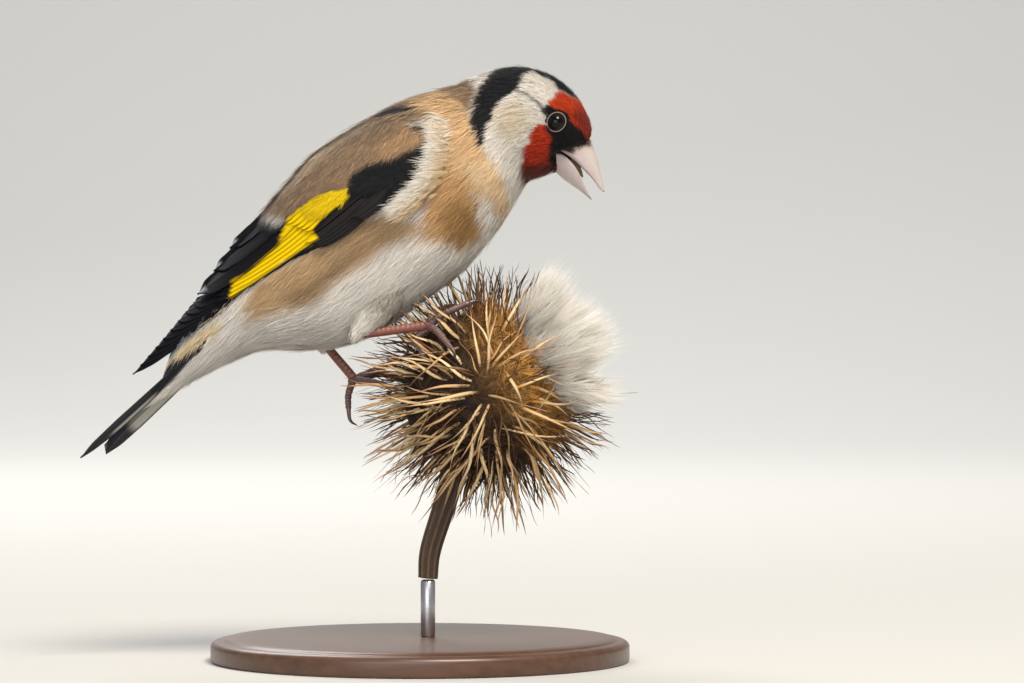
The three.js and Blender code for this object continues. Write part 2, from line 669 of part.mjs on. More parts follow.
const bird = join([wholeGrown, ...legParts]);
const headBall = ball(seedHeadCentre, SEED_HEAD.radius + GAP, 18);
const downBody = cut(down(bird), bird);
const clearOf = join([bird, downBody, cut(stem(GAP), headBall)]);
add("perch_head", cut(seedHead(clearOf), downDome(GAP), bird), COLOURS.bract);
add("perch_down", downBody, COLOURS.down);
add("perch_stem", cut(stem(), headBall), COLOURS.stem);

const baseProfile = [
  [0, 0],
  [BASE.radius, 0],
  [BASE.radius, BASE.height - BASE.bevel],
  [BASE.radius - BASE.bevel, BASE.height],
  [0, BASE.height],
];
const base = new THREE.LatheGeometry(baseProfile.map(([x, y]) => new THREE.Vector2(x, y)), 40);
base.rotateX(Math.PI / 2);
add("stand_base", solid(base), COLOURS.wood);
const rodLength = STEM.footZ - BASE.height - 2 * GAP;
const rod = new THREE.CylinderGeometry(ROD.radius, ROD.radius, rodLength, 16);
rod.rotateX(Math.PI / 2);
rod.translate(STEM.footX, 0, BASE.height + GAP + rodLength / 2);
add("stand_rod", solid(rod), COLOURS.steel);

export default goldfinch;
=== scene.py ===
"""A life-size still model of a European goldfinch that leans forward on a ripe thistle head.

Sizes are in millimetres in the part's own frame: +X is the way the bird faces, +Z is up and -Y is
its right side. They are turned to metres only where a mesh, a lamp or the camera is made.
"""

import logging
import math
from collections.abc import Callable
from dataclasses import dataclass, field
from enum import Enum

import bpy
import numpy as np
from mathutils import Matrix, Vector

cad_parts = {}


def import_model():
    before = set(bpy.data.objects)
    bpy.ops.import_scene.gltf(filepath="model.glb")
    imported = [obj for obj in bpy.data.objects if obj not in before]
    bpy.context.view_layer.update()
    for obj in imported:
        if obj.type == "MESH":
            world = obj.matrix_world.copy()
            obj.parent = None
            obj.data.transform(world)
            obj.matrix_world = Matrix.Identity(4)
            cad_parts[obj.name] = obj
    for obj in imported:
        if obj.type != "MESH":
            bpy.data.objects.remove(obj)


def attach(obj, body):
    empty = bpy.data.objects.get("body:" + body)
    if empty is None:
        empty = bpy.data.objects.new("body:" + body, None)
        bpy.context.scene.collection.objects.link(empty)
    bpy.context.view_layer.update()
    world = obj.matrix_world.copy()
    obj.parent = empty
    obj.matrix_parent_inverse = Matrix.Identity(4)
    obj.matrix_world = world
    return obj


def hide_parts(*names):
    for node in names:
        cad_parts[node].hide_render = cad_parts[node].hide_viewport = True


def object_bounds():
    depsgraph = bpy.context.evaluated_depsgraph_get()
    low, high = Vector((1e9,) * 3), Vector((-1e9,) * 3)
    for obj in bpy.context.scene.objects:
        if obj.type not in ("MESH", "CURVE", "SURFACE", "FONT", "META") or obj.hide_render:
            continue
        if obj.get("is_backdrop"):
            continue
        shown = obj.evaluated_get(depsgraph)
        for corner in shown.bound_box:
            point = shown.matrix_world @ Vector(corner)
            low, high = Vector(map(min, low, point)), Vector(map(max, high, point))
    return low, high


log = logging.getLogger("goldfinch")

Array = np.ndarray
Outline = list[tuple[float, float]]
Point = tuple[float, float, float]
Surface = tuple[Array, list[Array]]
Placing = Callable[[Array, Array, Array], Array]
Clearance = Callable[[Array], Array]

MM = 0.001
PHOTO_MM_PER_PIXEL = 0.205
PHOTO_SIZE = (1024, 683)
COAT_DEPTH = 0.8  # from the skin to the tips of the coat
COLOUR_LAYER = "Coat"
BAKE_MAP = "OFBake"
VANE_MAP = "Vane"
TUFT_PATCH = 0.003
COAT_PIECE_TRIANGLES = 190_000


class Side(Enum):
    """The bird's own sides, by the sign of Y."""

    RIGHT = -1
    LEFT = 1

    @property
    def word(self) -> str:
        """The side's name in a piece's name."""
        return self.name.lower()


# Helpers


def linear(hex_colour: str) -> Array:
    """Turns an sRGB hex colour to linear light.

    Args:
        hex_colour: a hash sign and six hex digits.

    Returns:
        The linear red, green and blue.
    """
    parts = np.array([int(hex_colour[i : i + 2], 16) / 255 for i in (1, 3, 5)])
    return np.where(parts <= 0.04045, parts / 12.92, ((parts + 0.055) / 1.055) ** 2.4)


def tones(*hex_colours: str) -> list[Array]:
    """Several colours in linear light."""
    return [linear(colour) for colour in hex_colours]


def blend(first: Array, second: Array, share: Array | float) -> Array:
    """A mix of two values, the first at share 0 and the second at share 1."""
    return first * (1 - share) + second * share


def circle(count: int) -> Array:
    """Evenly spaced angles round a full turn."""
    return np.linspace(0, 2 * math.pi, count, endpoint=False)


def crossed(first: Array, second: Array) -> tuple[Array, Array]:
    """Both coordinates at each corner of a grid."""
    return np.meshgrid(first, second, indexing="ij")


def smoothstep(low: float, high: float, value: Array) -> Array:
    """A soft step from 0 at low to 1 at high."""
    t = np.clip((value - low) / (high - low), 0.0, 1.0)
    return t * t * (3 - 2 * t)


def unit(vectors: Array) -> Array:
    """Vectors scaled to length one along their last axis."""
    length = np.linalg.norm(vectors, axis=-1, keepdims=True)
    return vectors / np.maximum(length, 1e-9)


def ripple(points: Array, wavelength: float, seed: int) -> Array:
    """A smooth made-up pattern, the sum of a few crossed waves.

    Args:
        points: places, one row each.
        wavelength: the rough size of a patch, in the points' unit.
        seed: picks the waves.

    Returns:
        One value a point, mostly between -1 and 1.
    """
    rng = np.random.default_rng(seed)
    waves = rng.normal(size=(7, points.shape[-1])) * (2 * math.pi / wavelength) * 0.6
    shifts = rng.uniform(0, 2 * math.pi, 7)
    return np.sin(points @ waves.T + shifts).sum(axis=-1) / 3.2


def catmull(knots: Array, t: Array) -> Array:
    """Points on the smooth curve through evenly spaced knots, and straight on past its ends.

    Args:
        knots: the curve's knots, one row each.
        t: places from 0, the first knot, to 1, the last.

    Returns:
        One row for each place.
    """
    last = len(knots) - 1
    place = np.clip(t, 0.0, 1.0) * last
    index = np.minimum(place.astype(int), last - 1)
    w = (place - index)[..., None]
    padded = np.vstack([2 * knots[0] - knots[1], knots, 2 * knots[-1] - knots[-2]])
    p0, p1, p2, p3 = (padded[index + k] for k in range(4))
    first, second = (p2 - p0) / 2, (p3 - p1) / 2
    w2, w3 = w * w, w * w * w
    inner = (2 * w3 - 3 * w2 + 1) * p1 + (3 * w2 - 2 * w3) * p2
    inner = inner + (w3 - 2 * w2 + w) * first + (w3 - w2) * second
    beyond = (t * last - place)[..., None]
    return inner + beyond * np.where(beyond < 0, knots[1] - knots[0], knots[-1] - knots[-2])


def depth_inside(places: Array, outline: Outline) -> Array:
    """How far inside a closed outline each place lies.

    Args:
        places: flat places, two numbers a row.
        outline: the outline's corners in order.

    Returns:
        The distance to the outline, positive inside and negative outside.
    """
    corners = np.array(outline, float)
    nearest = np.full(len(places), 1e9)
    inside = np.zeros(len(places), bool)
    for a, b in zip(corners, np.roll(corners, -1, axis=0)):
        edge = b - a
        along = np.clip(((places - a) @ edge) / max(edge @ edge, 1e-9), 0, 1)
        nearest = np.minimum(nearest, np.linalg.norm(places - a - along[:, None] * edge, axis=1))
        crosses = (a[1] > places[:, 1]) != (b[1] > places[:, 1])
        if crosses.any():
            at = a[0] + (places[:, 1] - a[1]) * edge[0] / (edge[1] if edge[1] else 1e-9)
            inside ^= crosses & (places[:, 0] < at)
    return np.where(inside, nearest, -nearest)


def make_mesh(
    name: str,
    points: Array,
    faces: list[Array],
    colours: Array | str,
    maps: dict[str, Array] | None = None,
) -> bpy.types.Object:
    """Makes a mesh object from arrays.

    Args:
        name: the piece's name.
        points: corners in millimetres, one row each.
        faces: arrays of corner numbers, one row a face, each array with its own row length.
        colours: a linear colour for each corner, or one hex colour for all.
        maps: UV maps by name, a pair for each corner.

    Returns:
        The new object, linked to the scene.
    """
    mesh = bpy.data.meshes.new(name)
    mesh.vertices.add(len(points))
    mesh.vertices.foreach_set("co", (points * MM).astype(np.float32).ravel())
    corners = np.concatenate([f.ravel() for f in faces]).astype(np.int32)
    totals = np.concatenate([np.full(len(f), f.shape[1]) for f in faces])
    mesh.loops.add(len(corners))
    mesh.loops.foreach_set("vertex_index", corners)
    mesh.polygons.add(len(totals))
    starts = np.concatenate([[0], np.cumsum(totals)[:-1]]).astype(np.int32)
    mesh.polygons.foreach_set("loop_start", starts)
    mesh.polygons.foreach_set("use_smooth", np.ones(len(totals), bool))
    mesh.update(calc_edges=True)
    layer = mesh.color_attributes.new(COLOUR_LAYER, "FLOAT_COLOR", "POINT")
    full = np.ones((len(points), 4), np.float32)
    full[:, :3] = linear(colours) if isinstance(colours, str) else colours
    layer.data.foreach_set("color", full.ravel())
    for map_name, places in (maps or {}).items():
        layer = mesh.uv_layers.new(name=map_name)
        layer.data.foreach_set("uv", places[corners].astype(np.float32).ravel())
    mesh.validate()
    piece = bpy.data.objects.new(name, mesh)
    bpy.context.scene.collection.objects.link(piece)
    return piece


def grid_faces(rows: int, columns: int, closed: bool) -> Array:
    """Four-sided faces over a grid of corners stored row by row.

    Args:
        rows: how many rows of corners.
        columns: how many corners a row.
        closed: whether each row joins up with its own start.

    Returns:
        One row of four corner numbers a face.
    """
    i, j = crossed(np.arange(rows - 1), np.arange(columns if closed else columns - 1))
    a = i * columns + j
    b = i * columns + (j + 1) % columns
    return np.stack([a, b, b + columns, a + columns], axis=-1).reshape(-1, 4)


def cap_faces(first: int, columns: int, hub: int, flip: bool) -> Array:
    """Triangles from one ring of corners to a hub corner.

    Args:
        first: the number of the ring's first corner.
        columns: corners in the ring.
        hub: the number of the hub.
        flip: whether the triangles face the other way.

    Returns:
        One row of three corner numbers a face.
    """
    j = np.arange(columns)
    a, b = first + j, first + (j + 1) % columns
    return np.stack([b, a, np.full(columns, hub)] if flip else [a, b, np.full(columns, hub)], axis=-1)


def lofted(rings: Array) -> Surface:
    """A closed surface over rings of corners, with a fan at each end.

    Args:
        rings: corners by ring and by place in the ring.

    Returns:
        The corners and the faces.
    """
    rows, columns = rings.shape[:2]
    first, last = rows * columns, rows * columns + 1
    faces = [
        grid_faces(rows, columns, True),
        cap_faces(0, columns, first, True),
        cap_faces((rows - 1) * columns, columns, last, False),
    ]
    return with_hubs(rings), faces


def with_hubs(values: Array) -> Array:
    """One row for each corner of a lofted surface: those of its rings, and for both hubs a ring's mean."""
    return np.vstack([values.reshape(-1, values.shape[-1]), values[[0, -1]].mean(axis=1)])


def feather_plate(
    top: Array, under: Array, upper: Array, lower: Array, across: Array, along: Array, flip: bool = False
) -> tuple[Array, ...]:
    """One closed feather from the grids of its two faces.

    Args:
        top: corners of the upper face, by place along and across the feather.
        under: corners of the lower face, in the same order.
        upper: the upper face's colours.
        lower: the lower face's colours.
        across: each corner's distance from the shaft.
        along: each row's distance from the root.
        flip: whether its rings run the other way, as on a mirrored feather.

    Returns:
        Its corners, faces, colours and places on the vane map.
    """
    vane = np.stack(np.broadcast_arrays(across, along[:, None]), axis=-1)
    faces = ((top, under), (upper, lower), (vane, vane))
    rings, shade, places = (np.concatenate([face, back[:, ::-1]], axis=1) for face, back in faces)
    if flip:
        rings, shade, places = rings[:, ::-1], shade[:, ::-1], places[:, ::-1]
    return *lofted(rings), with_hubs(shade), with_hubs(places)


def tube_rings(path: Array, radii: Array, columns: int, squash: float = 1.0) -> Array:
    """Rings round a path, turned as little as possible from one to the next.

    Args:
        path: points along the path.
        radii: a radius at each point, or one for each corner of each ring.
        columns: corners a ring.
        squash: the ring's height over its width.

    Returns:
        Corners by ring and by place in the ring.
    """
    along = unit(np.gradient(path, axis=0))
    side = unit(np.cross(along[0], [0.0, 0.0, 1.0]) + np.array([0.0, 1e-3, 0.0]))
    sides = []
    for way in along:
        side = unit(side - way * (side @ way))
        sides.append(side)
    sides = np.array(sides)
    up = np.cross(sides, along)
    turn = circle(columns)
    wide = np.broadcast_to(np.asarray(radii, float).reshape(len(path), -1), (len(path), columns))
    return (
        path[:, None]
        + sides[:, None] * (wide * np.cos(turn))[..., None]
        + up[:, None] * (wide * squash * np.sin(turn))[..., None]
    )


def joined(name: str, parts: list[tuple[Array, ...]], map_name: str = "") -> bpy.types.Object:
    """Makes one mesh object of several closed surfaces.

    Args:
        name: the piece's name.
        parts: each surface's corners, faces and colours, and its places on the map, if any.
        map_name: the map's name.

    Returns:
        The new object.
    """
    starts = np.cumsum([0] + [len(part[0]) for part in parts])
    faces = [own + start for part, start in zip(parts, starts) for own in part[1]]
    points, colours = (np.vstack([part[k] for part in parts]) for k in (0, 2))
    maps = {map_name: np.vstack([part[3] for part in parts])} if map_name else None
    return make_mesh(name, points, faces, colours, maps)


def ribbons(line: Array, side: Array, wide: Array) -> Array:
    """Corners of flat ribbons with a pointed tip.

    Args:
        line: each ribbon's stations.
        side: the way across it at each station.
        wide: half its width at each station but the last.

    Returns:
        By ribbon, two corners for each station but the last, and one for its tip.
    """
    body, across = line[:, :-1], side[:, :-1] * wide
    pairs = np.stack([body + across, body - across], axis=2)
    return np.concatenate([pairs.reshape(len(line), -1, 3), line[:, -1:]], axis=1)


def fill(tree: bpy.types.NodeTree, node: bpy.types.Node, inputs: dict) -> None:
    """Sets a node's inputs.

    Args:
        tree: the node tree.
        node: the node.
        inputs: values or other nodes' sockets, by the name or number of the input.
    """
    for key, value in inputs.items():
        if isinstance(value, bpy.types.NodeSocket):
            tree.links.new(value, node.inputs[key])
        else:
            node.inputs[key].default_value = value


def add_node(
    tree: bpy.types.NodeTree, kind: str, inputs: dict | None = None, **settings: str
) -> bpy.types.Node:
    """Adds a node.

    Args:
        tree: the node tree.
        kind: the node's type.
        inputs: values or other nodes' sockets, by the name or number of the input.
        settings: the node's own settings.

    Returns:
        The node.
    """
    node = tree.nodes.new(kind)
    for key, value in settings.items():
        setattr(node, key, value)
    fill(tree, node, inputs or {})
    return node


# Finishes


@dataclass(frozen=True)
class Tissue:
    """A grown or made surface: its piece's own colours under a fine mottle, with a little relief."""

    name: str
    roughness: float
    grain_mm: float
    dark: float = 0.86
    bright: float = 1.12
    relief_mm: float = 0.0
    stretch: Point = (1.0, 1.0, 1.0)
    sockets: tuple[tuple[str, float], ...] = ()

    def build(self) -> bpy.types.Material:
        """Makes the material.

        Returns:
            The new material.
        """
        material = bpy.data.materials.new(self.name)
        material.use_nodes = True
        tree = material.node_tree
        shader = tree.nodes["Principled BSDF"]
        pattern = self.pattern(tree)
        coat = add_node(tree, "ShaderNodeAttribute", attribute_name=COLOUR_LAYER)
        mottle = {"Value": pattern, "To Min": self.dark, "To Max": self.bright}
        mixed = {0: coat.outputs["Color"], 1: add_node(tree, "ShaderNodeMapRange", mottle).outputs[0]}
        colour = add_node(tree, "ShaderNodeVectorMath", mixed, operation="MULTIPLY").outputs[0]
        fill(tree, shader, {"Base Color": colour, "Roughness": self.roughness, **dict(self.sockets)})
        if self.relief_mm:
            relief = add_node(tree, "ShaderNodeBump", {"Height": pattern, "Distance": self.relief_mm * MM})
            fill(tree, shader, {"Normal": relief.outputs[0]})
        return material

    def pattern(self, tree: bpy.types.NodeTree) -> bpy.types.NodeSocket:
        """A fine cloudy mottle, drawn out where the material has a grain.

        Args:
            tree: the material's node tree.

        Returns:
            A socket with the pattern from 0 to 1.
        """
        where = add_node(tree, "ShaderNodeTexCoord")
        place = {"Vector": where.outputs["Object"], "Scale": self.stretch}
        drawn = add_node(tree, "ShaderNodeMapping", place).outputs[0]
        cloud = {"Vector": drawn, "Scale": 1 / (self.grain_mm * MM), "Detail": 4.0}
        return add_node(tree, "ShaderNodeTexNoise", cloud).outputs["Fac"]


@dataclass(frozen=True)
class Vane(Tissue):
    """Stiff feather vane, whose pattern is fine slanting barbs on both sides of the shaft."""

    slant: float = 1.4

    def pattern(self, tree: bpy.types.NodeTree) -> bpy.types.NodeSocket:
        """Barb lines, by the vane map's places across and along the feather.

        Args:
            tree: the material's node tree.

        Returns:
            A socket with the pattern from 0 to 1.
        """
        vane = add_node(tree, "ShaderNodeUVMap", uv_map=VANE_MAP)
        split = add_node(tree, "ShaderNodeSeparateXYZ", {0: vane.outputs[0]})
        value = split.outputs["X"]
        for operation, inputs in (
            ("ABSOLUTE", {}),
            ("MULTIPLY_ADD", {1: self.slant, 2: split.outputs["Y"]}),
            ("MULTIPLY", {1: 2 * math.pi / self.grain_mm}),
            ("SINE", {}),
        ):
            value = add_node(tree, "ShaderNodeMath", {0: value, **inputs}, operation=operation).outputs[0]
        return add_node(tree, "ShaderNodeMapRange", {"Value": value, "From Min": -1.0}).outputs[0]


# Soft feather barbs: dull, with a faint silky glow where the coat turns away from the eye
CONTOUR_FEATHER = Tissue(
    "contour_feather_keratin", 0.75, 0.5, sockets=(("Specular IOR Level", 0.2), ("Sheen Weight", 0.08))
)
# Stiff vanes: satin, with barb lines that catch the light in rows; real barbs are finer still
FLIGHT_FEATHER = Vane(
    "flight_feather_keratin", 0.62, 0.26, 0.9, 1.08, 0.012, sockets=(("Specular IOR Level", 0.1),)
)
# Bill horn: smooth and slightly waxy, with faint clouds of growth
BILL_HORN = Tissue(
    "bill_horn", 0.36, 0.7, 0.9, 1.06, 0.02, sockets=(("IOR", 1.54), ("Specular IOR Level", 0.35))
)
# Claw horn: hard and glossy, nearly black
CLAW_HORN = Tissue("claw_horn", 0.28, 0.5, sockets=(("IOR", 1.54),))
# Wet cornea: the one sharp highlight on the bird, over a very dark eye
WET_CORNEA = Tissue("wet_cornea", 0.06, 0.4, sockets=(("IOR", 1.38), ("Specular IOR Level", 0.35)))
# Scaly skin of legs and eye rims: dry and leathery
LEG_SKIN = Tissue("scaly_leg_skin", 0.5, 0.3, 0.78, 1.15, 0.03, sockets=(("Specular IOR Level", 0.35),))
# Dead thistle tissue: matt and fibrous, lighter on its raised fibres
DRY_BRACT = Tissue("dry_thistle_bract", 0.75, 0.3, 0.62, 1.28, 0.07, sockets=(("Specular IOR Level", 0.25),))
# Thistle silk: fine white hairs with a soft gloss
SEED_SILK = Tissue("thistle_pappus_silk", 0.55, 2.0, 0.9, 1.06, sockets=(("Sheen Weight", 0.15),))
# Turned walnut under a satin varnish: dark, with straight drawn-out grain
VARNISH = (("Coat Weight", 0.3), ("Coat Roughness", 0.25))
WALNUT = Tissue("turned_walnut", 0.4, 1.6, 0.35, 1.5, 0.05, (0.1, 1.0, 1.0), VARNISH)
# Drawn steel, brushed round: fine rings spread its highlight
STEEL = Tissue("brushed_steel", 0.33, 3.0, 0.85, 1.1, 0.01, (1.0, 1.0, 30.0), (("Metallic", 1.0),))
# Matt background paper: even and plain, so that only soft shadows show on it
PAPER = Tissue("matt_background_paper", 0.95, 40.0, 0.99, 1.0, sockets=(("Specular IOR Level", 0.05),))


# Markings


@dataclass(frozen=True)
class Patch:
    """One patch of colour in a flat view: an outline, its colour and how soft its edge is."""

    outline: Outline
    colour: str
    soft: float = 0.5
    strength: float = 1.0


def painted(places: Array, base: str, patches: list[Patch]) -> Array:
    """Lays patches of colour over one another.

    Args:
        places: flat places, two numbers a row.
        base: the colour under all patches.
        patches: the patches, the lowest first.

    Returns:
        A linear colour for each place.
    """
    colours = np.tile(linear(base), (len(places), 1))
    for patch in patches:
        depth = depth_inside(places, patch.outline)
        share = smoothstep(-patch.soft, patch.soft, depth)[:, None] * patch.strength
        colours = blend(colours, linear(patch.colour), share)
    return colours


BODY_BASE = "#E4DED4"
# Where the bill stands clear of the feathers, in x and z
GAPE = [(27.0, 102.9), (28.8, 104.2), (30.6, 104.9), (33.0, 105.9), (35.0, 106.8), (37.5, 105), (36, 99.5),
        (29.4, 99.0), (28.4, 100.6)]
# The coat's markings seen from the side, in x and z, the same on both sides of the bird, with a few patches of
# painted shade among them
BODY_PATCHES = [
    # Painted shade: grey over the white lower belly and vent, the bird's shaded underside
    Patch([(-62, 40), (-62, 66), (-44, 74), (-30, 72), (-14, 66), (-4, 70), (6, 80), (16, 84), (14, 70),
           (-20, 40)], "#C4BEB4", 4.0, 0.75),
    Patch([(-60, 62), (-60, 130), (13, 130), (12.5, 118.5), (10.7, 113.4), (4.4, 111.8), (-6, 108),
           (-20, 96), (-30, 84), (-40, 72), (-50, 64)], "#8B745B", 1.6),
    Patch([(-12, 112.5), (-18, 108), (-24, 102), (-30, 94), (-32, 94.5), (-26, 103.5), (-17, 111)],
          "#B19C80", 0.7, 0.8),
    # Painted shadow: a thin dark line in the gap where the mantle laps over the wing's upper edge
    Patch([(-10.5, 111.5), (-7.0, 112.9), (-3.6, 113.9), (0.2, 113.6), (-2.8, 112.7), (-6.6, 112.0)],
          "#17120F", 0.15),
    Patch([(-1, 117.5), (10, 121), (13, 119), (11.2, 116), (10.6, 112.5), (8, 114), (3, 115)],
          "#8A7157", 1.0, 0.8),
    Patch([(2.3, 117), (7.0, 116.4), (10.3, 112.1), (11.2, 109.5), (12.8, 106.3), (14.6, 103.2),
           (16.7, 100.0), (18.0, 98.2), (19.9, 95.6), (18.8, 92.5), (17.0, 90.9), (15.4, 93.0),
           (12.8, 95.1), (11.2, 96.4), (6.0, 97.0), (2.3, 95.3), (1.3, 93.0), (-1.1, 93.0), (1.3, 96.4),
           (3.1, 99.8), (4.7, 103.4), (5.7, 107.1), (5.2, 110.2), (2.0, 112.4), (-2.0, 114.5)],
          "#CBA87B", 1.1),
    Patch([(9.0, 101.5), (13.0, 103.0), (18.4, 96.4), (18.0, 92.8), (16.2, 92.6), (12.6, 96.6)],
          "#D9BF99", 1.4, 0.8),
    Patch([(-33.0, 78.5), (-23.8, 84.5), (-16.1, 89.0), (-11.0, 92.0), (-6.0, 93.0), (0.3, 90.2),
           (1.9, 87.6), (-3.0, 86.9), (-7.9, 84.0), (-11.2, 81.4), (-16.1, 78.8), (-20.6, 73.9),
           (-25.9, 72.6), (-34.0, 70.2), (-36.0, 73.0)], "#B0926C", 2.0),
    Patch([(-26.5, 75.2), (-20.6, 79.4), (-16.1, 82.7), (-11.8, 86.0), (-7.6, 87.6), (-10.8, 84.0),
           (-15.4, 80.4), (-20.6, 75.2), (-24.9, 73.5)], "#836A4C", 1.6, 0.7),
    Patch([(2.0, 95.3), (3.4, 98.4), (6.0, 100.2), (9.1, 99.8), (11.2, 96.4), (12.8, 94.0), (12.3, 91.9),
           (13.1, 89.1), (12.5, 86.7), (10.2, 85.4), (7.6, 84.9), (5.5, 86.2), (2.3, 86.7), (1.3, 88.0),
           (1.4, 90.6), (1.4, 93.2)], "#C09767", 1.5),
    Patch([(4.6, 93.2), (7.6, 94.9), (10.9, 93.8), (12.0, 90.6), (12.5, 87.9), (10.4, 86.0), (7.8, 85.6),
           (6.0, 87.2), (4.9, 89.8)], "#94703F", 1.8, 0.85),
    Patch([(12.8, 95.1), (14.4, 94.5), (15.6, 92.5), (15.4, 89.8), (13.9, 87.6), (13.2, 89.3),
           (12.7, 91.9)], "#DCD6CC", 0.9),
    Patch([(3.4, 111.6), (5.0, 111.3), (5.9, 110.2), (5.7, 107.1), (4.6, 103.4), (3.1, 100.3),
           (1.2, 97.2), (-1.2, 94.9), (-4.5, 92.4), (-7.8, 91.6), (-5.9, 95.0), (-1.8, 97.9),
           (0.3, 103.8), (2.0, 107.4)], "#E4DFD4", 0.9),
    # Painted shadow: a dark grey line along the thigh, where it meets the belly
    Patch([(-11.8, 71.0), (-7.5, 74.2), (-3.0, 77.2), (-2.6, 76.2), (-6.5, 72.4), (-10.5, 69.8)],
          "#6E6863", 0.5, 0.8),
    Patch([(-40.8, 70.0), (-39.6, 69.0), (-42.7, 66.6), (-48.0, 62.4), (-52.0, 59.6), (-52.2, 60.8),
           (-49.8, 63.4), (-46.0, 66.9)], "#C6B48F", 0.3),
    Patch([(-42, 70.6), (-46.2, 66.9), (-50.0, 63.4), (-52.4, 60.7), (-57, 60), (-54, 68), (-46, 74)],
          "#74777C", 0.35),
    Patch([(-43.2, 66.4), (-44.0, 64.6), (-46.9, 62.0), (-50.0, 58.4), (-54.5, 54.2), (-58, 56),
           (-52.0, 60.2), (-48.3, 62.6)], "#22222A", 0.3),
    Patch([(18.5, 100.5), (20.8, 100.0), (22.5, 97.0), (20.5, 92.4), (18.6, 93.4), (17.9, 97.0)],
          "#DDD6C9", 0.9),
    Patch([(17.8, 115.7), (16.5, 114.4), (15.2, 113.3), (14.8, 111.9), (15.0, 110.6), (14.1, 110.7),
           (13.5, 109.7), (13.1, 107.9), (13.3, 106.6), (14.1, 104.6), (15.2, 102.6), (16.5, 101.3),
           (17.4, 99.5), (18.2, 97.6), (19.0, 94.0), (21.4, 92.0), (23.6, 97.3), (22.1, 98.2),
           (21.5, 99.7), (20.8, 101.0), (21.1, 102.1), (21.4, 103.9), (21.6, 105.3), (22.3, 106.1),
           (22.7, 107.7), (23.6, 109.3), (24.7, 109.9), (26.2, 110.1), (26.2, 112.8), (24.5, 114.1),
           (23.2, 115.3), (21.6, 116.4), (20.3, 117.1), (19.0, 116.4)], "#D6CFC4", 0.35),
    Patch([(15.6, 112.0), (17.6, 114.0), (20.2, 114.8), (22.0, 112.6), (22.3, 110.0), (20.6, 107.4),
           (18.4, 107.0), (16.2, 108.4)], "#C9B99C", 1.7, 0.8),
    Patch([(10.5, 119.0), (11.0, 123), (16.0, 123), (14.9, 120.6), (13.6, 119.0), (12.5, 117.5),
           (11.4, 117.6)], "#DAD4CA", 0.5),
    Patch([(22.7, 120.7), (23.6, 120.5), (25.0, 119.9), (26.7, 119.3), (27.6, 118.1), (28.6, 116.7),
           (27.6, 115.7), (26.3, 114.6), (25.4, 114.1), (24.5, 114.4), (23.2, 115.5), (22.1, 116.4),
           (20.5, 117.0), (20.5, 117.9), (21.0, 118.8), (21.4, 120.3)], "#D8D1C6", 0.3),
    Patch([(20.0, 117.1), (22.0, 116.5), (23.5, 115.4), (24.9, 114.3), (26.2, 113.1), (25.6, 112.6),
           (24.1, 114.0), (22.8, 115.2), (21.5, 116.1), (19.8, 116.7)], "#3A3634", 0.25, 0.75),
    Patch([(15.3, 121.1), (16.0, 124), (30, 124), (36, 117), (33.6, 113.6), (32.0, 115.1), (31.1, 115.6),
           (29.6, 116.4), (28.6, 116.7), (27.6, 118.1), (26.7, 119.3), (25.0, 119.9), (23.6, 120.5),
           (22.7, 120.7), (21.4, 120.3), (21.0, 118.8), (20.3, 117.6), (19.0, 116.4), (17.8, 115.7),
           (16.5, 114.4), (15.2, 113.3), (14.8, 111.9), (15.0, 110.6), (14.3, 110.5), (14.0, 109.5),
           (13.7, 108.2), (13.6, 106.4), (12.5, 105.5), (11.7, 107.5), (11.0, 109.3), (10.6, 111.0),
           (11.0, 112.8), (11.6, 114.6), (12.1, 116.4), (12.7, 117.9), (13.6, 119.0), (14.7, 120.6)],
          "#101015", 0.3),
    Patch([(26.1, 112.6), (26.3, 114.6), (27.6, 115.7), (28.6, 116.6), (29.6, 116.4), (31.1, 115.6),
           (32.0, 115.1), (33.8, 114.4), (38, 113), (40, 106), (36.0, 104.4), (34.0, 105.6),
           (33.2, 106.2), (31.8, 108.0), (30.8, 109.1), (29.9, 110.2), (29.3, 111.3), (28.2, 112.0),
           (27.0, 112.2)], "#B8380C", 0.3),
    Patch([(30.6, 111.4), (32.4, 113.4), (34.6, 112.4), (37.4, 108.6), (36.0, 105.4), (34.1, 106.8),
           (32.7, 108.8)], "#6B180A", 1.3, 0.8),
    Patch([(25.5, 110.1), (24.7, 109.9), (23.6, 109.3), (22.7, 107.7), (22.3, 106.1), (21.6, 105.3),
           (21.4, 103.9), (21.1, 102.1), (20.8, 101.0), (21.4, 99.7), (22.0, 96.5), (30.5, 97.0),
           (31.5, 101.5), (29.5, 102.0), (28.4, 103.4), (27.9, 104.2), (28.1, 105.3), (28.0, 106.6),
           (27.4, 107.9), (26.9, 109.0)], "#A82C0A", 0.3),
    Patch([(20.5, 101.4), (22.5, 101.8), (25.0, 101.9), (27.5, 102.0), (31, 100.5), (30, 95.5),
           (22, 95.5)], "#591A0E", 0.7, 0.9),
    Patch([(25.2, 113.3), (26.1, 113.7), (27.2, 113.2), (28.7, 112.9), (30.1, 112.1), (30.7, 110.8),
           (31.8, 109.7), (33.4, 107.9), (34.2, 106.8), (35.2, 106.0), (36.0, 104.0), (31.5, 100.4),
           (29.0, 100.9), (26.4, 102.6), (26.5, 104.1), (27.0, 105.3), (27.0, 106.6), (26.3, 107.7),
           (25.6, 108.8), (25.4, 110.1), (25.3, 111.9)], "#0A0808", 0.25),
]

WING_BASE = "#0C0C10"
YELLOW_BAR = [(21.8, 1.2), (22.7, -0.4), (25.6, -0.7), (30.2, -0.9), (32.8, -1.4), (32.9, -3.2), (38.2, -2.5),
              (48.6, -1.6), (54.8, -0.8), (52.1, 0.9), (48.5, 0.4), (40.1, 0.6), (36.8, 2.4), (33.3, 4.4),
              (27.8, 4.3), (23.7, 2.8)]
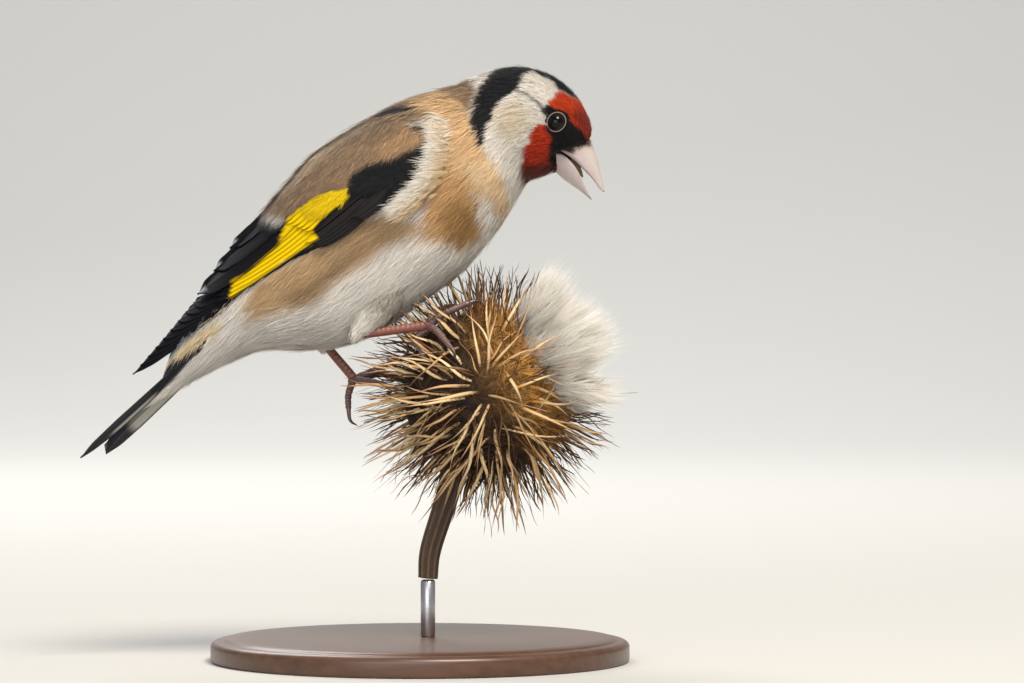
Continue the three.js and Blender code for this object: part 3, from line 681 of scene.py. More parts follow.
# The folded wing's markings in its own frame: from the shoulder to the tip, and up towards the back
WING_PATCHES = [
    Patch([(-3, 8), (5, 14), (20, 15), (40, 12), (38.2, 7.9), (36.8, 5.6), (35.3, 3.6), (33.3, 4.4),
           (27.8, 4.3), (23.7, 2.8), (21.8, 1.2), (19.8, 3.0), (15.4, 2.6), (10.7, 0.3), (4.1, -1.4),
           (-1, -2.0)], "#806951", 0.6),
    Patch([(2, 8), (6, 12), (14, 14), (24, 13), (34, 10), (32, 8.6), (24, 9.4), (14, 9.2), (6, 7.6)],
          "#A9967C", 0.8, 0.75),
    Patch([(1.5, 3.6), (5.0, 4.6), (10, 4.0), (13, 2.8), (10.5, 1.0), (5, -0.6), (2, 0.4)],
          "#9C7B57", 1.4, 0.6),
    Patch([(-2.4, 0.0), (-1.8, 4.6), (2.4, 4.6), (3.6, 2.4), (1.2, 0.2)], "#211B18", 0.6),
    Patch([(15.8, -4.2), (20.6, -1.7), (26, -1.0), (33.8, -2.2), (34.6, -4.6), (28, -6), (20, -6.5)],
          "#1F1C1C", 0.6),
    Patch(YELLOW_BAR, "#D9B800", 0.22),
    Patch([(34.6, 3.8), (35.8, 5.6), (37.2, 7.6), (38.6, 7.8), (38.0, 5.4), (36.4, 3.2)],
          "#ABA69F", 0.8, 0.85),
]


# The bird's body form


@dataclass
class Trunk:
    """Trunk, neck and head as one rounded form, from the tail root to the face."""

    # Each station: back x, back z, belly x, belly z, half width
    stations: list[tuple[float, ...]] = field(default_factory=lambda: [
        (-50.8, 59.7, -50.8, 55.1, 4.1), (-47.1, 65.2, -45.5, 58.2, 5.5), (-43.0, 71.3, -39.4, 61.3, 7.4),
        (-37.9, 79.1, -32.4, 64.0, 9.8), (-32.4, 87.3, -24.2, 64.0, 12.5), (-26.6, 95.7, -15.4, 64.8, 13.9),
        (-20.9, 102.7, -6.6, 68.9, 14.9), (-14.8, 108.2, 1.0, 74.2, 15.4), (-8.2, 112.6, 7.8, 79.1, 15.4),
        (-2.5, 115.2, 12.9, 84.7, 14.8), (2.9, 116.8, 17.0, 90.2, 13.5), (7.2, 118.1, 19.9, 95.0, 12.0),
        (11.1, 119.7, 21.5, 97.6, 10.5), (15.0, 121.1, 22.5, 98.6, 9.5), (19.5, 121.8, 24.0, 99.1, 9.1),
        (24.2, 121.1, 25.6, 99.6, 8.6), (28.5, 119.1, 26.6, 100.0, 7.7), (32.0, 115.8, 27.3, 100.2, 6.6),
        (34.0, 112.5, 27.7, 100.4, 5.4), (35.1, 109.3, 28.1, 100.6, 4.4), (34.6, 106.6, 28.7, 100.7, 3.6),
    ])

    def __post_init__(self) -> None:
        """Splits the stations into the lines of the back and the belly."""
        table = np.array(self.stations)
        self.back = table[:, [0, 1, 4]]
        self.belly = table[:, [2, 3]]

    def place(self, t: Array, turn: Array, grow: Array) -> Array:
        """Points on the form.

        Args:
            t: from 0 at the tail root to 1 at the face.
            turn: the angle round the section from the back, towards +Y.
            grow: how far outside the form.

        Returns:
            One point for each place.
        """
        back, belly = catmull(self.back, t), catmull(self.belly, t)
        middle = (back[..., :2] + belly) / 2
        rise = back[..., :2] - belly
        length = np.linalg.norm(rise, axis=-1)
        up = rise / length[..., None]
        tall = length / 2 + grow
        wide = back[..., 2] + grow
        flat = middle + up * (tall * np.cos(turn))[..., None]
        return np.stack([flat[..., 0], wide * np.sin(turn), flat[..., 1]], axis=-1)


@dataclass
class Coat:
    """A strand maker: grows fans of tapered strands over any surface with two coordinates."""

    rng: np.random.Generator
    stations: tuple[float, ...] = (0.0, 0.4, 0.75, 1.0)
    taper: tuple[float, ...] = (0.7, 1.0, 0.75)

    def scale(self, place: Placing, u: Array, v: Array) -> tuple[Array, Array]:
        """Measures the surface.

        Args:
            place: gives points from two coordinates and a height.
            u: the first coordinate.
            v: the second coordinate.

        Returns:
            The millimetres for one unit of each coordinate.
        """
        step, flat = 1e-3, np.zeros_like(u)
        along = np.linalg.norm(place(u + step, v, flat) - place(u - step, v, flat), axis=-1) / (2 * step)
        across = np.linalg.norm(place(u, v + step, flat) - place(u, v - step, flat), axis=-1) / (2 * step)
        return np.maximum(along, 1e-3), np.maximum(across, 1e-3)

    def grow(
        self,
        place: Placing,
        u: Array,
        v: Array,
        heading: Array,
        length: Array,
        fan: Array | float,
        width: Array | float,
        low: Array | float,
        high: Array | float,
        count: int,
        unruly: float = 0.0,
    ) -> dict[str, Array]:
        """Grows one fan of strands at each root.

        Args:
            place: gives points from two coordinates and a height.
            u: the roots' first coordinate.
            v: the roots' second coordinate.
            heading: the angle of each fan from the way of falling u, towards rising v.
            length: each fan's length.
            fan: half the width of each fan at its tips.
            width: the width of a strand.
            low: the height of the roots.
            high: the height of the tips.
            count: strands a fan.
            unruly: how far strands stray and stand out, from 0 to 1.

        Returns:
            Arrays by strand: corners, the strand's line, its place in the fan, its fan's number and root.
        """
        n = len(u)
        fan, width, low, high = (np.broadcast_to(value, (n,))[:, None] for value in (fan, width, low, high))
        q = np.linspace(-1, 1, count) + self.rng.normal(0, 0.35 / count, (n, count))
        mm_u, mm_v = self.scale(place, u, v)
        reach = length[:, None] * (1 - 0.2 * q**2) * (1 + self.rng.normal(0, 0.16, (n, count)))
        stray = self.rng.normal(0, 0.12 + unruly * 0.5, (n, count)) * fan
        rise = (high - low) * (1 + self.rng.normal(0, 0.25 + unruly, (n, count)))
        lines, tops = [], []
        for s in self.stations:
            forward = reach * s
            sideways = q * fan * (0.3 + 0.7 * s**1.1) + stray * s**2
            along = forward * np.cos(heading)[:, None] - sideways * np.sin(heading)[:, None]
            across = forward * np.sin(heading)[:, None] + sideways * np.cos(heading)[:, None]
            uu = u[:, None] - along / mm_u[:, None]
            vv = v[:, None] + across / mm_v[:, None]
            height = low + rise * math.sin(min(s * 1.25, 1.0) * math.pi / 2)
            lines.append(place(uu, vv, height))
            tops.append(place(uu, vv, height + 0.3))
        line = np.stack(lines, axis=2).reshape(n * count, len(self.stations), 3)
        normal = unit(np.stack(tops, axis=2).reshape(line.shape) - line)
        side = unit(np.cross(unit(np.gradient(line, axis=1)), normal))
        roll = self.rng.normal(0, 0.16, (len(line), 1, 1))
        side = side * np.cos(roll) + normal * np.sin(roll)
        wide = (np.repeat(width, count)[:, None] * np.array(self.taper) / 2)[..., None]
        return {
            "corners": ribbons(line, side, wide),
            "line": line,
            "q": q.ravel(),
            "fan": np.repeat(np.arange(n), count),
            "u": np.repeat(u, count),
            "v": np.repeat(v, count),
        }

    def faces(self, strands: int) -> list[Array]:
        """The faces of strands: quads down each and one triangle at its tip.

        Args:
            strands: how many strands.

        Returns:
            An array of quads and one of triangles.
        """
        steps = len(self.stations) - 1
        each = 2 * steps + 1
        start = (np.arange(strands) * each)[:, None]
        quads = [start + np.array([[2 * k, 2 * k + 1, 2 * k + 3, 2 * k + 2]]) for k in range(steps - 1)]
        tips = start + np.array([[2 * steps - 2, 2 * steps - 1, 2 * steps]])
        return [np.vstack(quads), tips]

    def shade(
        self, base: Array, strands: dict[str, Array], root: float, jitter: float, edge: float = 0.0
    ) -> Array:
        """Colours each strand from its base colour, with painted shade towards its root.

        Args:
            base: one linear colour a strand.
            strands: what grow returned.
            root: how bright the roots are next to the rest; the darker roots are partly the grey down at a
                feather's base and partly painted shade deep in the coat.
            jitter: how far strands and fans differ in brightness.
            edge: how much paler a fan's edges are than its middle.

        Returns:
            One linear colour for each corner of each strand.
        """
        fans = int(strands["fan"].max()) + 1
        vary = 1 + self.rng.normal(0, jitter * 0.7, fans)[strands["fan"]]
        vary = vary + self.rng.normal(0, jitter, len(base)) + edge * (np.abs(strands["q"]) - 0.5)
        steps = len(self.stations) - 1
        # Painted shade: dark at the roots, brightening along each strand to its tip.
        painted_root_shade = np.append(np.repeat(np.linspace(root, 1.0, steps), 2), 1.03)
        shaded = base[:, None, :] * np.clip(vary, 0.3, 1.8)[:, None, None] * painted_root_shade[None, :, None]
        return np.clip(shaded, 0.0, 1.0)

    def pieces(
        self, name: str, strands: dict[str, Array], colours: Array, bake_u: Array, bake_v: Array
    ) -> list[bpy.types.Object]:
        """Makes coat pieces of strands, each under the limit of triangles.

        Args:
            name: the pieces' name, to which a number is added.
            strands: what grow returned.
            colours: a colour for each corner of each strand.
            bake_u: each strand's place on the unwrap of its skin.
            bake_v: the same for the other coordinate.

        Returns:
            The new objects.
        """
        corners = strands["corners"]
        triangles = 2 * (len(self.stations) - 2) + 1
        limit = COAT_PIECE_TRIANGLES // triangles
        patch = np.linspace(0, TUFT_PATCH, corners.shape[1])
        places = np.stack([bake_u[:, None] + patch, bake_v[:, None] + patch[::-1]], axis=-1).clip(0.0, 1.0)
        made = []
        for k, start in enumerate(range(0, len(corners), limit)):
            part = slice(start, start + limit)
            points, shade, spots = corners[part], colours[part].reshape(-1, 3), places[part].reshape(-1, 2)
            faces = self.faces(len(points))
            made.append(make_mesh(f"{name}_{k + 1}", points.reshape(-1, 3), faces, shade, {BAKE_MAP: spots}))
        return made


def dress(piece: bpy.types.Object, material: bpy.types.Material, slot: str, *nodes: str) -> bpy.types.Object:
    """Gives a piece its material and its body, and hides the CAD nodes that it stands for.

    Args:
        piece: the piece.
        material: its finish.
        slot: not used.
        nodes: the CAD nodes that it replaces.

    Returns:
        The piece.
    """
    piece.data.materials.append(material)
    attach(piece, "root")
    if nodes:
        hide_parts(*nodes)
    log.info("%s: %d faces", piece.name, len(piece.data.polygons))
    return piece


@dataclass
class Eye:
    """One eye with the ring of its lids."""

    x: float = 27.9
    y: float = 5.9
    z: float = 110.5
    radius: float = 2.1
    rim_radius: float = 1.93
    rim_thick: float = 0.105
    rim_out: float = 1.3

    def build(self, lid: bpy.types.Material) -> None:
        """Makes both eyes.

        Args:
            lid: the finish of the rims.
        """
        cornea = WET_CORNEA.build()
        for side in Side:
            dress(self.ball(side), cornea, "eye", f"eye_{side.word}")
            dress(self.rim(side), lid, "head_feather")

    def ball(self, side: Side) -> bpy.types.Object:
        """An eyeball with a slight bulge of the cornea.

        Args:
            side: which eye.

        Returns:
            The new object.
        """
        rows, columns = 40, 48
        tilt = np.linspace(0, math.pi, rows)[1:-1]
        turn = circle(columns)
        radius = self.radius * (1 + 0.05 * np.exp(-((tilt / 0.55) ** 2)))
        out = side.value * (self.y + np.repeat(radius * np.cos(tilt), columns).reshape(-1, columns))
        ring = (radius * np.sin(tilt))[:, None]
        rings = np.stack([self.x + ring * np.cos(turn), out, self.z + ring * np.sin(turn)], axis=-1)
        if side is Side.RIGHT:
            rings = rings[:, ::-1]
        points, faces = lofted(rings)
        pupil = smoothstep(0.55, 0.75, np.hypot(points[:, 0] - self.x, points[:, 2] - self.z) / self.radius)
        shade = linear("#040303") + pupil[:, None] * linear("#1E120C")
        return make_mesh(f"eyeball_{side.word}", points, faces, shade)

    def rim(self, side: Side) -> bpy.types.Object:
        """The bare ring of the lids, beaded and slightly pointed fore and aft.

        Args:
            side: which eye.

        Returns:
            The new object.
        """
        columns, around = 120, 10
        turn = circle(columns)
        beads = 1 + 0.22 * np.sin(26 * turn)
        radius = self.rim_radius * (1 + 0.05 * np.cos(2 * (turn - 0.9)))
        out = np.stack([np.cos(turn), np.zeros(columns), np.sin(turn)], axis=-1)
        path = np.array([self.x, side.value * (self.y + self.rim_out), self.z]) + out * radius[:, None]
        section = circle(around)[None, :, None]
        away = np.array([0.0, side.value, 0.0])
        thick = (self.rim_thick * beads)[:, None, None]
        rings = path[:, None] + thick * (out[:, None] * np.cos(section) + away * np.sin(section))
        faces = grid_faces(columns + 1, around, True) % (columns * around)
        # Painted light and shade: brighter on the thick beads, darker between them
        shade = linear("#77726C") * np.repeat(0.4 + 0.6 * beads, around)[:, None]
        return make_mesh(f"eye_rim_{side.word}", rings.reshape(-1, 3), [faces], shade)


@dataclass
class Body:
    """The feathered body: one skin under fans of soft strands."""

    trunk: Trunk
    eye: Eye
    rng: np.random.Generator
    skin_rows: int = 220
    skin_columns: int = 144
    tail_end: tuple[float, float] = (-53.7, 54.9)
    face_end: tuple[float, float] = (31.6, 103.7)
    fluff: float = 4.0  # how far the rump's feathers stand up over the tail's root
    # By place from tail to face: distance between fans, their length and their strands' width
    spacing: tuple[float, ...] = (0.8, 0.78, 0.78, 0.78, 0.75, 0.7, 0.62, 0.52, 0.42, 0.36, 0.33)
    lengths: tuple[float, ...] = (4.6, 6.4, 6.8, 6.2, 5.2, 4.2, 3.3, 2.5, 1.9, 1.3, 0.85)
    widths: tuple[float, ...] = (0.15, 0.15, 0.15, 0.145, 0.14, 0.13, 0.12, 0.11, 0.095, 0.085, 0.08)

    def build(self, soft: bpy.types.Material) -> None:
        """Makes the skin and the coat.

        Args:
            soft: the finish of both.
        """
        dress(self.skin(), soft, "body_feather", "rump", "torso", "neck", "head")
        for piece in self.coat():
            dress(piece, soft, "body_feather")

    def colours(self, points: Array) -> Array:
        """Paints the coat.

        Args:
            points: places on the body.

        Returns:
            A linear colour for each.
        """
        flat = points[:, [0, 2]] + 0.22 * np.stack(
            [ripple(points, 2.2, 11), ripple(points, 2.2, 12)], axis=-1
        )
        colours = painted(flat, BODY_BASE, BODY_PATCHES)
        return colours * (0.97 + 0.05 * ripple(points, 6.0, 5))[:, None]

    def place(self, t: Array, turn: Array, grow: Array) -> Array:
        """Points over the body, pressed in round the eyes and at the gape, and fluffed over the tail.

        Args:
            t: from 0 at the tail root to 1 at the face.
            turn: the angle round the section from the back, towards +Y.
            grow: how far outside the body's form.

        Returns:
            One point for each place.
        """
        points = self.trunk.place(t, turn, np.zeros_like(t))
        flat = points[..., [0, 2]]
        near = smoothstep(1.6, 4.4, np.hypot(flat[..., 0] - self.eye.x, flat[..., 1] - self.eye.z))
        gape = smoothstep(-0.7, 0.6, depth_inside(flat.reshape(-1, 2), GAPE)).reshape(t.shape)
        side = smoothstep(0.6, 2.0, np.abs(points[..., 1]))
        fluff = self.fluff * smoothstep(0.18, 0.03, t) * smoothstep(0.0, 0.9, np.cos(turn))
        lift = grow * (1 - side * (1 - near) * 0.7)
        return self.trunk.place(t, turn, lift + fluff - side * ((1 - near) * 0.85 + gape * 1.5))

    def skin(self) -> bpy.types.Object:
        """The closed skin, a coat's depth inside the body's outline.

        Returns:
            The new object.
        """
        t, turn = crossed(np.linspace(0, 1, self.skin_rows), circle(self.skin_columns))
        rings = self.place(t, turn, np.full_like(t, -COAT_DEPTH))
        tail = np.array([self.tail_end[0] + 1.0, 0.0, self.tail_end[1] + 0.6])
        face = np.array([self.face_end[0], 0.0, self.face_end[1]])
        rings = np.concatenate([
            (rings[:1] - tail) * 0.4 + tail,
            rings,
            (rings[-1:] - face) * 0.6 + face,
        ])
        points, faces = lofted(rings)
        u = np.clip((np.arange(len(rings)) - 1) / self.skin_rows, 0, 1) * 0.98
        v = np.arange(self.skin_columns) / self.skin_columns * 0.98
        places = np.stack(crossed(u, v), axis=-1).reshape(-1, 2)
        places = np.vstack([places, [[0, 0], [0.98, 0]]])
        # The coat's colours darkened to 0.6: painted shade where the skin shows between the strands.
        return make_mesh("body_skin", points, faces, self.colours(points) * 0.6, {BAKE_MAP: places})

    def roots(self) -> tuple[Array, Array]:
        """Roots scattered evenly over the body.

        Returns:
            The roots' place along the body and their turn round it.
        """
        rows, columns = 260, 120
        edges = np.linspace(0.0, 1.0, rows + 1)
        wide, slice_angle = edges[1] - edges[0], 2 * math.pi / columns
        t, turn = crossed((edges[:-1] + edges[1:]) / 2, (np.arange(columns) + 0.5) * slice_angle)
        along, across = Coat(self.rng).scale(self.trunk.place, t, turn)
        gap = np.interp(t, np.linspace(0, 1, len(self.spacing)), self.spacing)
        wanted = along * across * wide * slice_angle / gap**2
        total = int(wanted.sum())
        order = np.cumsum(wanted.ravel())
        picks = np.searchsorted(order, (np.arange(total) + self.rng.uniform(0, 1, total)) * order[-1] / total)
        picks = np.minimum(picks, wanted.size - 1)
        i, j = np.unravel_index(picks, wanted.shape)
        root_t = edges[i] + self.rng.uniform(0, 1, total) * wide
        return root_t, (j + self.rng.uniform(0, 1, total)) * slice_angle

    def coat(self) -> list[bpy.types.Object]:
        """All fans of the body coat, shorter and finer towards the face.

        Returns:
            The new objects.
        """
        stops = np.linspace(0, 1, len(self.lengths))
        t, turn = self.roots()
        at = self.trunk.place(t, turn, np.zeros_like(t))
        keep = ~self.hidden(at)
        t, turn = t[keep], turn[keep]
        under = smoothstep(0.1, -0.7, np.cos(turn))
        length = np.interp(t, stops, self.lengths) * (1 + 0.35 * under * smoothstep(0.62, 0.4, t))
        length = length * (1 + self.rng.normal(0, 0.1, len(t)))
        heading = self.rng.normal(0, 0.1, len(t)) + 0.22 * np.sin(turn) * smoothstep(0.55, 0.2, t)
        heading = heading + 0.12 * ripple(np.stack([t * 12, turn * 3], axis=-1), 1.0, 21)
        loose = smoothstep(0.75, 0.45, t)
        low = -COAT_DEPTH + self.rng.uniform(-0.1, 0.15, len(t))
        high = -0.08 + self.rng.normal(0, 0.07, len(t)) * (0.5 + loose)
        maker = Coat(self.rng)
        width = np.interp(t, stops, self.widths)
        strands = maker.grow(self.place, t, turn, heading, length, length * 0.3, width, low, high, 8, 0.06)
        base = self.colours(strands["line"][:, 1:3].mean(axis=1))
        u, v = strands["u"], strands["v"]
        streak = ripple(np.stack([u * 13, v * 16], axis=-1), 1.0, 33)
        base = base * (1 + (0.03 + 0.09 * smoothstep(0.8, 0.5, u)) * streak)[:, None]
        red = base[:, 0] > 4 * base[:, 1]
        base = np.where(red[:, None], base * self.rng.lognormal(0, 0.3, (len(base), 1)), base)
        colours = maker.shade(base, strands, 0.66, 0.05, edge=0.04)
        return maker.pieces("body_coat", strands, colours, u * 0.98, (v / (2 * math.pi) % 1) * 0.98)

    def hidden(self, points: Array) -> Array:
        """Which roots the folded wings and the eyes cover.

        Args:
            points: the roots.

        Returns:
            True for each covered root.
        """
        under = depth_inside(np.stack(wing_frame(points), axis=-1), UNDER_WING) > 0.6
        under &= np.abs(points[:, 1]) > 5.0
        flat = points[:, [0, 2]]
        bare = np.hypot(flat[:, 0] - self.eye.x, flat[:, 1] - self.eye.z) < 2.05
        bare |= depth_inside(flat, GAPE) > 0.1
        return under | (bare & (np.abs(points[:, 1]) > 1.0))


# Wing frame: s runs from the shoulder to the tip, h towards the back
WING_ROOT = (3.3, 109.9)
WING_PITCH = math.radians(39.5)
# Where the folded wing hides the body's own coat, in the wing's frame
UNDER_WING = [(5, 5.0), (12, 6.5), (24, 6.4), (36, 4.4), (48, 2.6), (48, 0.4), (36, -2.4), (24, -3.6),
              (12, -3.6)]


def wing_frame(points: Array) -> tuple[Array, Array]:
    """Turns points to the wing's frame.

    Args:
        points: places on the bird.

    Returns:
        How far each lies along the folded wing and up it, seen from the side.
    """
    dx, dz = points[..., 0] - WING_ROOT[0], points[..., 2] - WING_ROOT[1]
    s = -dx * math.cos(WING_PITCH) - dz * math.sin(WING_PITCH)
    h = -dx * math.sin(WING_PITCH) + dz * math.cos(WING_PITCH)
    return s, h


@dataclass(frozen=True)
class FeatherRow:
    """One row of stiff feathers: lines of its first and last feather, half widths and heights."""

    name: str
    count: int
    root: tuple[float, float, float, float]
    middle: tuple[float, float, float, float]
    tip: tuple[float, float, float, float]
    half: tuple[float, float]
    lift: tuple[float, float]
    tip_spot: str = ""
    fringe: str = ""
    blunt: float = 0.5


@dataclass
class Wing:
    """A folded wing: rows of stiff feathers under a soft coat of small coverts and scapulars."""

    side: Side
    rng: np.random.Generator
    # Each row of the form: s, back height, keel height, half width
    form: list[tuple[float, ...]] = field(default_factory=lambda: [
        (0, 2.0, -21, 13.6), (8, 7.0, -25, 15.6), (16, 8.3, -26.5, 16.2), (24, 8.2, -26.5, 15.8),
        (32, 6.7, -25, 14.4), (40, 5.3, -21.5, 12.4), (48, 4.2, -17, 10.2), (56, 2.8, -12, 8.2),
        (64, 2.3, -9, 6.6), (72, 2.2, -7, 4.8), (81, 1.3, -5, 2.6),
    ])
    # Each row of the arm: s, upper edge, lower edge
    arm: list[tuple[float, ...]] = field(default_factory=lambda: [
        (0.0, 3.2, -0.8), (4, 6.4, -3.4), (9, 8.3, -5.2), (16, 9.2, -6.1), (23, 8.8, -5.5),
        (30, 7.6, -4.6), (37, 6.2, -3.5), (42, 5.2, -2.4),
    ])
    rows: list[FeatherRow] = field(default_factory=lambda: [
        FeatherRow("primary", 9, (29, -4.4, 31.5, -2.4), (57, -0.9, 56, 1.5), (80.3, 0.8, 61.5, 3.2),
                   (1.5, 1.35), (0.0, 1.3), tip_spot="#DCDCE0", fringe="#1E1D22", blunt=0.1),
        FeatherRow("secondary", 6, (25, -2.9, 28, 1.6), (42, -1.6, 42, 2.0), (57.5, 0.4, 52.5, 3.1),
                   (1.15, 1.4), (1.65, 2.05), fringe="#1C1B20"),
        FeatherRow("tertial", 3, (26, 3.6, 25, 6.6), (45, 2.6, 38, 6.0), (59.6, 3.1, 48.6, 5.9),
                   (2.1, 1.5), (2.3, 2.5), tip_spot="#8E949E", fringe="#1C1C22", blunt=0.35),
        FeatherRow("primary_covert", 5, (17, -5.0, 18, -2.4), (27, -5.2, 27, -2.6), (34, -4.3, 35.5, -2.2),
                   (0.95, 1.0), (1.75, 2.15), fringe="#2C2828"),
        FeatherRow("alula", 3, (12, -5.4, 13, -4.0), (18, -5.8, 18, -4.3), (24, -5.4, 25, -4.2),
                   (0.8, 0.8), (2.2, 2.4), fringe="#2A2727"),
        FeatherRow("greater_covert", 8, (17, -1.6, 19, 4.8), (26, -1.4, 29, 4.8), (33.4, -1.5, 37.2, 4.0),
                   (0.85, 0.95), (2.3, 2.6), blunt=0.9),
    ])
    # A feather's width along its length, over its widest
    shape: tuple[tuple[float, float], ...] = (
        (0, 0.55), (0.12, 0.75), (0.4, 1.0), (0.75, 0.97), (0.9, 0.8), (1, 0.3),
    )
    stations: int = 46
    covert_fans: int = 7700
    fringe_fans: int = 800
    thickness: float = 0.12
    shingle: float = 0.26

    def build(self, vane: bpy.types.Material, soft: bpy.types.Material) -> None:
        """Makes the wing's pieces.

        Args:
            vane: the finish of its stiff feathers.
            soft: the finish of its small coverts.
        """
        word = self.side.word
        dress(self.flight(), vane, "wing_feather", f"wing_{word}")
        dress(self.arm_skin(), soft, "wing_feather")
        for piece in self.coverts() + self.fringe():
            dress(piece, soft, "wing_feather")

    def place(self, s: Array, h: Array, lift: Array) -> Array:
        """Points over the rounded form that the wing lies on.

        Args:
            s: how far along the folded wing.
            h: how far up it.
            lift: how far outside the form.

        Returns:
            One point for each place.
        """
        table = np.array(self.form, float)
        share = np.interp(s, table[:, 0], np.linspace(0, 1, len(table)))
        form = catmull(table[:, 1:], share)
        back, keel, half = form[..., 0], form[..., 1], form[..., 2]
        middle, tall = (back + keel) / 2, (back - keel) / 2
        turn = np.arccos(np.clip((h - middle) / (tall + 1.0), -0.99, 0.99))
        height = middle + (tall + lift) * np.cos(turn) + np.maximum(h - (middle + (tall + 1) * 0.99), 0)
        out = (half + lift) * np.sin(turn)
        x = WING_ROOT[0] - s * math.cos(WING_PITCH) - height * math.sin(WING_PITCH)
        z = WING_ROOT[1] - s * math.sin(WING_PITCH) + height * math.cos(WING_PITCH)
        return np.stack([x, self.side.value * out, z], axis=-1)

    def colours(self, s: Array, h: Array) -> Array:
        """The wing's markings at places on it."""
        return painted(np.stack([s, h], axis=-1), WING_BASE, WING_PATCHES)

    def flight(self) -> bpy.types.Object:
        """All stiff feathers of the wing in one piece."""
        parts = [self.feather(row, i / (row.count - 1)) for row in self.rows for i in range(row.count)]
        return joined(f"wing_feathers_{self.side.word}", parts, VANE_MAP)

    def feather(self, row: FeatherRow, share: float) -> tuple[Array, ...]:
        """One stiff feather with its shaft, pale edges and tip.

        Args:
            row: the row that it belongs to.
            share: its place in the row, from 0 to 1.

        Returns:
            Its corners, faces, colours and places on the vane map.
        """
        ends = np.array([row.root, row.middle, row.tip])
        half, lift = blend(*row.half, share), blend(*row.lift, share)
        q = np.array([-1, -0.9, -0.72, -0.4, -0.09, 0, 0.09, 0.4, 0.72, 0.9, 1.0])
        t = np.linspace(0, 1, self.stations)
        line = catmull(blend(ends[:, :2], ends[:, 2:], share), t)
        way = unit(np.gradient(line, axis=0))
        side_way = np.stack([-way[:, 1], way[:, 0]], axis=-1)
        length = np.linalg.norm(np.diff(line, axis=0), axis=1).sum()
        outline = np.interp(t, *np.array(self.shape).T)
        round_tip = np.sqrt(np.clip((1 - t) * length / (half * (1.6 - row.blunt)), 0, 1))
        wear = 1 + 0.03 * ripple(np.stack([t * length, np.full_like(t, share * 9)], axis=-1), 1.6, 3)
        across = q * (half * outline * np.maximum(round_tip, 0.12) * wear)[:, None]
        s, h = (line[:, k, None] + side_way[:, k, None] * across for k in (0, 1))
        sunk = np.clip(1 - t / 0.2, 0, 1) * 1.1
        arch = 0.1 * (1 - q**2) + np.where(np.abs(q) < 0.05, 0.1, 0.0)
        height = (lift - np.minimum(sunk, max(lift - 0.7, 0)))[:, None] - self.shingle * q + arch
        top, under = self.place(s, h, height), self.place(s, h, height - self.thickness)
        base = self.colours(s.ravel(), h.ravel()).reshape(*s.shape, 3)
        base = self.marked(base, row, share, t, q, length)
        return feather_plate(top, under, base, base * 0.8 + 0.02, across, t * length, self.side is Side.LEFT)

    def marked(self, base: Array, row: FeatherRow, share: float, t: Array, q: Array, length: float) -> Array:
        """Adds a feather's own fringe, shaft line and tip spot to the wing's markings.

        Args:
            base: the markings at the feather's corners.
            row: the row that it belongs to.
            share: its place in the row, from 0 to 1.
            t: places along it.
            q: places across it.
            length: its length.

        Returns:
            A linear colour for each corner.
        """
        bright = base.max(axis=-1, keepdims=True) > 0.15
        edge = smoothstep(0.8, 0.95, np.abs(q))[:, None]
        shaft = (np.abs(q) < 0.05)[:, None]
        lined = linear("#8A5A00" if share < 0.62 else "#4A3A00")
        base = np.where(bright, blend(base, lined, 0.5 * edge), base)
        base = np.where(shaft, np.where(bright, base * 0.8, base + 0.006), base)
        if row.fringe:
            amount = edge * smoothstep(0.35, 0.8, t)[:, None, None] * np.where(q > 0, 0.9, 0.5)[:, None]
            base = np.where(bright, base, blend(base, linear(row.fringe), amount))
        if row.tip_spot and not (row.name == "primary" and share < 0.3):
            span = 1.7 if row.name == "primary" else 3.0
            middle = 0.0 if row.name == "tertial" and share < 0.2 else 0.45
            reach = (1 - t) * length
            amount = smoothstep(span, span * 0.6, reach) * smoothstep(0.02, 0.3, reach)
            amount = amount[:, None, None] * smoothstep(0.5, 0.25, np.abs(q - middle))[:, None]
            base = blend(base, linear(row.tip_spot), amount)
        return base

    def arm_skin(self) -> bpy.types.Object:
        """The closed form of the arm under the small coverts.

        Returns:
            The new object.
        """
        rows, columns = 60, 28
        edge = catmull(np.array(self.arm, float), np.linspace(0, 1, rows))
        s = np.repeat(edge[:, :1], columns, axis=1)
        h = blend(edge[:, 1:2], edge[:, 2:3], np.linspace(0, 1, columns))
        top, under = (self.place(s, h, np.full_like(s, lift)) for lift in (1.55, -0.2))
        rings = np.concatenate([top, under[:, ::-1]], axis=1)
        if self.side is Side.RIGHT:
            rings = rings[:, ::-1]
        points, faces = lofted(rings)
        # The wing's colours darkened to half: painted shade where the arm shows between the coverts.
        return make_mesh(f"wing_arm_{self.side.word}", points, faces, self.colours(*wing_frame(points)) * 0.5)

